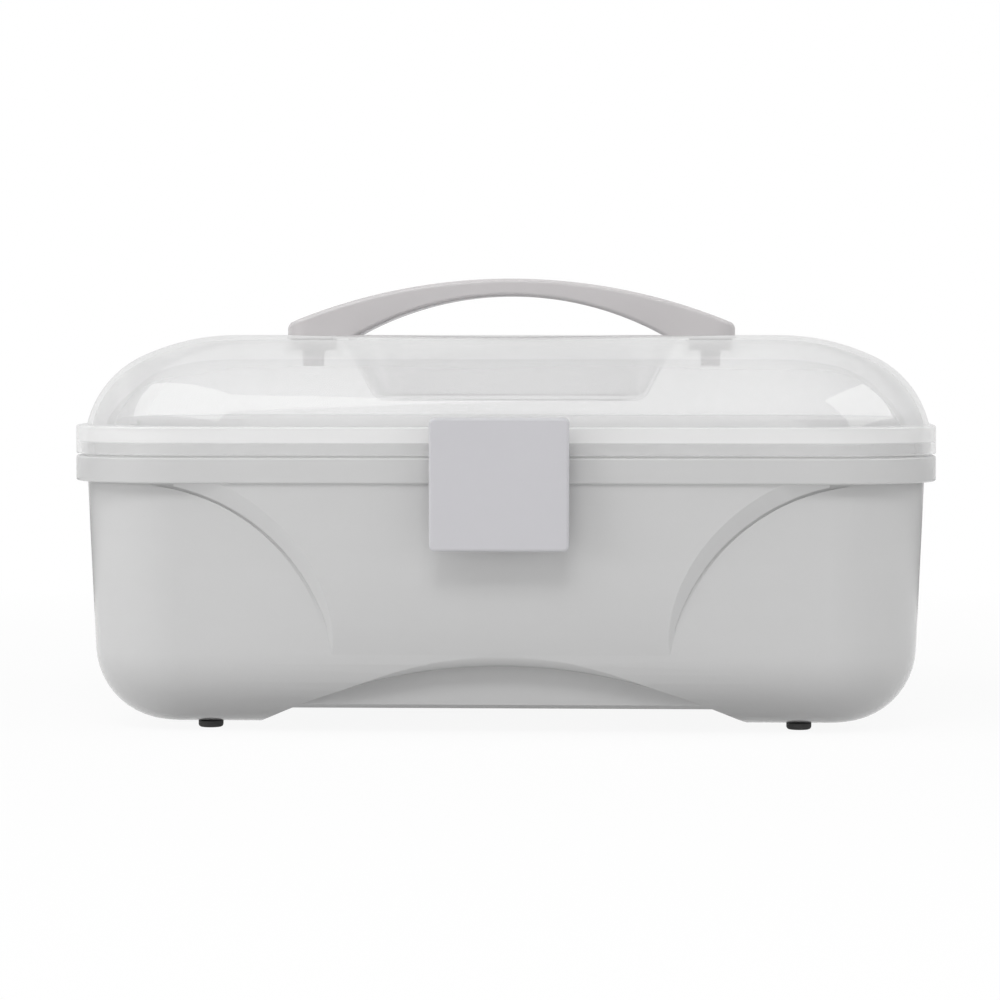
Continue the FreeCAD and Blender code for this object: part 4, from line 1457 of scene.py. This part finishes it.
@dataclass
class Fittings:
    """Rubber feet and steel pins."""

    rim: Rim
    foot_x: float = 113.0
    foot_y: float = 73.0
    foot_radius: float = 4.8
    foot_height: float = 2.6
    stem_radius: float = 2.0
    stem_top: float = 6.7

    def feet(self, finish: Rubber) -> None:
        """Makes the four feet."""
        material = finish.material()
        outside = rounded([(0, 1.4), (0, 0, 1.2), (3.6, 0)])
        upper = rounded(
            [
                (0, 1.4),
                (0, self.foot_height, 0.3),
                (self.foot_radius - self.stem_radius, self.foot_height),
                (self.foot_radius - self.stem_radius, self.stem_top, 0.4),
                (self.foot_radius - 0.6, self.stem_top),
            ]
        )
        for side, x_name in zip(SIDES, ("left", "right")):
            for face, y_name in zip(SIDES, ("front", "rear")):
                name = "foot_" + y_name + "_" + x_name
                form = Form.disc(name, self.foot_radius, 1.4, 48).follow(upper)
                form.weld(Form.disc("sole", self.foot_radius, 1.4, 48).follow(outside))
                form.shift(side * self.foot_x, face * self.foot_y, 0)
                dress(form.finish(), material, "base", "foot", name)

    def pins(self, finish: BrushedSteel) -> None:
        """Makes the two hinge pins and the latch pin."""
        rim = self.rim
        material = finish.material()
        for side, x_name in zip(SIDES, ("left", "right")):
            reach = 1.5 * rim.knuckle_width
            x = (side * rim.hinge_x - reach, side * rim.hinge_x + reach)
            name = "hinge_pin_" + x_name
            pin = Form.rod(name, rim.hinge_y, rim.hinge_z, rim.hinge_pin_radius, x, 0.35)
            dress(pin.finish(), material, "base", "pin", name)
        reach = rim.latch_lug_x + rim.latch_lug_width / 2
        pin = Form.rod("latch_pin", rim.latch_y, rim.latch_z, rim.latch_pin_radius, (-reach, reach), 0.3)
        dress(pin.finish(), material, "lid", "pin", "latch_pin")


# ---- Studio
@dataclass(frozen=True)
class Lamp:
    """A soft lamp, placed by azimuth from the front and elevation in degrees, distance and size in metres.

    A lamp that isn't seen lights the object but leaves no reflection.
    """

    name: str
    azimuth: float
    elevation: float
    distance: float
    size: tuple[float, float]
    power: float
    roll: float = 0.0
    seen: bool = True

    def place(self, aim: Vector) -> Vector:
        """Where the lamp stands around its aim."""
        turn, lift = math.radians(self.azimuth), math.radians(self.elevation)
        away = Vector((math.sin(turn) * math.cos(lift), -math.cos(turn) * math.cos(lift), math.sin(lift)))
        return aim + away * self.distance


@dataclass
class Studio:
    """White floor and world, soft lamps and the camera."""

    camera_place: tuple[float, float, float] = (0.0600, -1.4988, 0.1514)
    heading: float = 2.471
    tilt: float = 2.56
    lens: float = 134.2
    floor_size: float = 14.0
    wall_y: float = 1.4
    wall_length: float = 6.0
    wall_height: float = 2.4
    world_light: float = 0.28
    lamps: tuple[Lamp, ...] = (
        Lamp("left", -57.0, 47.0, 1.6, (1.95, 0.92), 10.0, 9.0),
        Lamp("right", 82.0, 36.0, 1.5, (1.05, 0.75), 5.0, -3.0),
        Lamp("left_low", -58.0, 8.0, 1.5, (0.70, 0.45), 4.2, seen=False),
        Lamp("right_low", 52.0, 8.0, 1.5, (0.70, 0.45), 1.8, seen=False),
        Lamp("front", 0.0, 48.0, 1.9, (0.90, 0.45), 8.8, seen=False),
        Lamp("top", 0.0, 88.0, 1.5, (1.40, 0.90), 3.0, seen=False),
    )

    def camera(self) -> None:
        """Adds the camera."""
        data = bpy.data.cameras.new("camera")
        data.lens = self.lens
        data.sensor_width = 36.0
        obj = bpy.data.objects.new("camera", data)
        bpy.context.collection.objects.link(obj)
        obj.location = self.camera_place
        obj.rotation_euler = (math.radians(90 - self.tilt), 0, math.radians(self.heading))
        bpy.context.scene.camera = obj

    def floor(self) -> None:
        """Adds the white floor, which keeps the object's shadow. Its colour for bounced light is painted darker under
        and around the box as painted shade, and near the box it glows to reflections as painted light.
        """
        deselect()
        bpy.ops.mesh.primitive_plane_add(size=self.floor_size, location=(0, 0, 0))
        obj = bpy.context.object
        obj.name = "floor"
        material = bpy.data.materials.new("floor_white")
        material.use_nodes = True
        graph = Graph(material.node_tree)
        path = graph.node("ShaderNodeLightPath").socket.node.outputs
        seen = Link(graph, path["Is Camera Ray"])
        mirrored = Link(graph, path["Is Glossy Ray"])
        place = graph.position()
        away = graph.node("ShaderNodeVectorMath", {"operation": "LENGTH"}, {0: place}, "Value")
        far = graph.node("ShaderNodeMapRange", {}, {"Value": away, "From Min": 0.25, "From Max": 0.75})
        oval = graph.node("ShaderNodeVectorMath", {"operation": "LENGTH"}, {0: graph.position((0.5, 1.0, 1.0))}, "Value")
        near = graph.node("ShaderNodeMapRange", {}, {"Value": oval, "From Min": 0.50, "From Max": 0.45})
        grain = graph.noise(place, 30.0, 3.0)
        pale = graph.mix(grain, (0.80, 0.80, 0.80), (0.82, 0.82, 0.82))
        # Painted shade: the colour the floor gives to bounced light is 0.50 under and around the box and 0.85 beyond
        # it.
        foot = graph.node("ShaderNodeVectorMath", {"operation": "LENGTH"}, {0: graph.position((1.0, 1.5, 1.0))}, "Value")
        clear_of_painted_shade = graph.node("ShaderNodeMapRange", {}, {"Value": foot, "From Min": 0.18, "From Max": 0.26})
        # Glossy rays get the darker painted-shade colour everywhere outside the near oval.
        clear_of_painted_shade = clear_of_painted_shade * (1 - mirrored * (1 - near))
        bounce_with_painted_shade = graph.mix(clear_of_painted_shade, (0.50, 0.50, 0.50), (0.85, 0.85, 0.85))
        lit = graph.node("ShaderNodeBsdfDiffuse", {}, {"Color": graph.mix(seen, bounce_with_painted_shade, pale)})
        glow = graph.node("ShaderNodeEmission", {}, {"Color": (1.0, 1.0, 1.0), "Strength": 1.0})
        # Painted light: near the box the floor glows to glossy rays as well as to the camera, so the tub's lower faces
        # reflect it.
        share = seen * (0.92 + far * 0.08) + mirrored * near
        graph.surface(graph.node("ShaderNodeMixShader", {}, {0: share, 1: lit, 2: glow}))
        obj.data.materials.append(material)

    def backdrop(self) -> None:
        """Adds the pale wall behind, which shows in the gloss alone."""
        deselect()
        bpy.ops.mesh.primitive_plane_add(size=1, location=(0, self.wall_y, self.wall_height / 2))
        obj = bpy.context.object
        obj.name = "backdrop"
        obj.scale = (self.wall_length, self.wall_height, 1)
        obj.rotation_euler = (math.radians(90), 0, 0)
        material = bpy.data.materials.new("backdrop_white")
        material.use_nodes = True
        graph = Graph(material.node_tree)
        tone = graph.mix(graph.noise(graph.position(), 3.0, 2.0), (0.76, 0.76, 0.76), (0.80, 0.80, 0.80))
        graph.surface(graph.node("ShaderNodeEmission", {}, {"Color": tone, "Strength": 1.0}))
        obj.data.materials.append(material)
        obj.visible_camera = False
        obj.visible_diffuse = False
        obj.visible_transmission = False
        obj.visible_shadow = False

    def world(self) -> None:
        """Sets a world that is white to the camera, and softer as light."""
        world = bpy.data.worlds.new("studio")
        bpy.context.scene.world = world
        world.use_nodes = True
        graph = Graph(world.node_tree)
        path = graph.node("ShaderNodeLightPath").socket.node.outputs
        seen = Link(graph, path["Is Camera Ray"]) + Link(graph, path["Is Transmission Ray"])
        strength = self.world_light + seen * (1 - self.world_light)
        back = graph.node("ShaderNodeBackground", {}, {"Color": (1.0, 1.0, 1.0), "Strength": strength})
        graph.node("ShaderNodeOutputWorld", {}, {"Surface": back})

    def lights(self) -> None:
        """Adds the soft lamps, all aimed at the box."""
        aim = Vector((0, 0, 0.08))
        for lamp in self.lamps:
            data = bpy.data.lights.new(lamp.name, "AREA")
            data.shape = "RECTANGLE"
            data.size, data.size_y = lamp.size
            data.energy = lamp.power
            obj = bpy.data.objects.new(lamp.name, data)
            bpy.context.collection.objects.link(obj)
            obj.location = lamp.place(aim)
            obj.rotation_euler = (aim - obj.location).to_track_quat("-Z", "Y").to_euler()
            obj.rotation_euler.rotate_axis("Z", math.radians(lamp.roll))
            obj.visible_glossy = lamp.seen

    def build(self) -> None:
        """Adds everything around the object."""
        self.camera()
        self.floor()
        self.backdrop()
        self.world()
        self.lights()
        bpy.context.scene.view_settings.view_transform = "Standard"


def main() -> None:
    """Builds the box piece by piece, then the studio around it."""
    logging.basicConfig(level=logging.INFO, format="%(name)s: %(message)s")
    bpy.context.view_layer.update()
    rim = Rim()
    tub = Tub(rim)
    tub.build(Plastic("tub_plastic", (0.585, 0.585, 0.585), Sheen.GLOSS))
    Lid(rim).build(MilkyPlastic("lid_plastic", (0.87, 0.87, 0.87)))
    Handle().build(Plastic("handle_plastic", (0.60, 0.58, 0.585), Sheen.GLOSS))
    Latch(rim).build(Plastic("latch_plastic", (0.575, 0.57, 0.595), Sheen.GLOSS))
    Tray(rim, tub).build(Plastic("tray_plastic", (0.82, 0.82, 0.83), Sheen.SATIN))
    fittings = Fittings(rim)
    fittings.feet(Rubber("foot_rubber", (0.09, 0.09, 0.09)))
    fittings.pins(BrushedSteel("pin_steel", (0.70, 0.70, 0.70)))
    Studio().build()


if __name__ == "__main__":
    main()
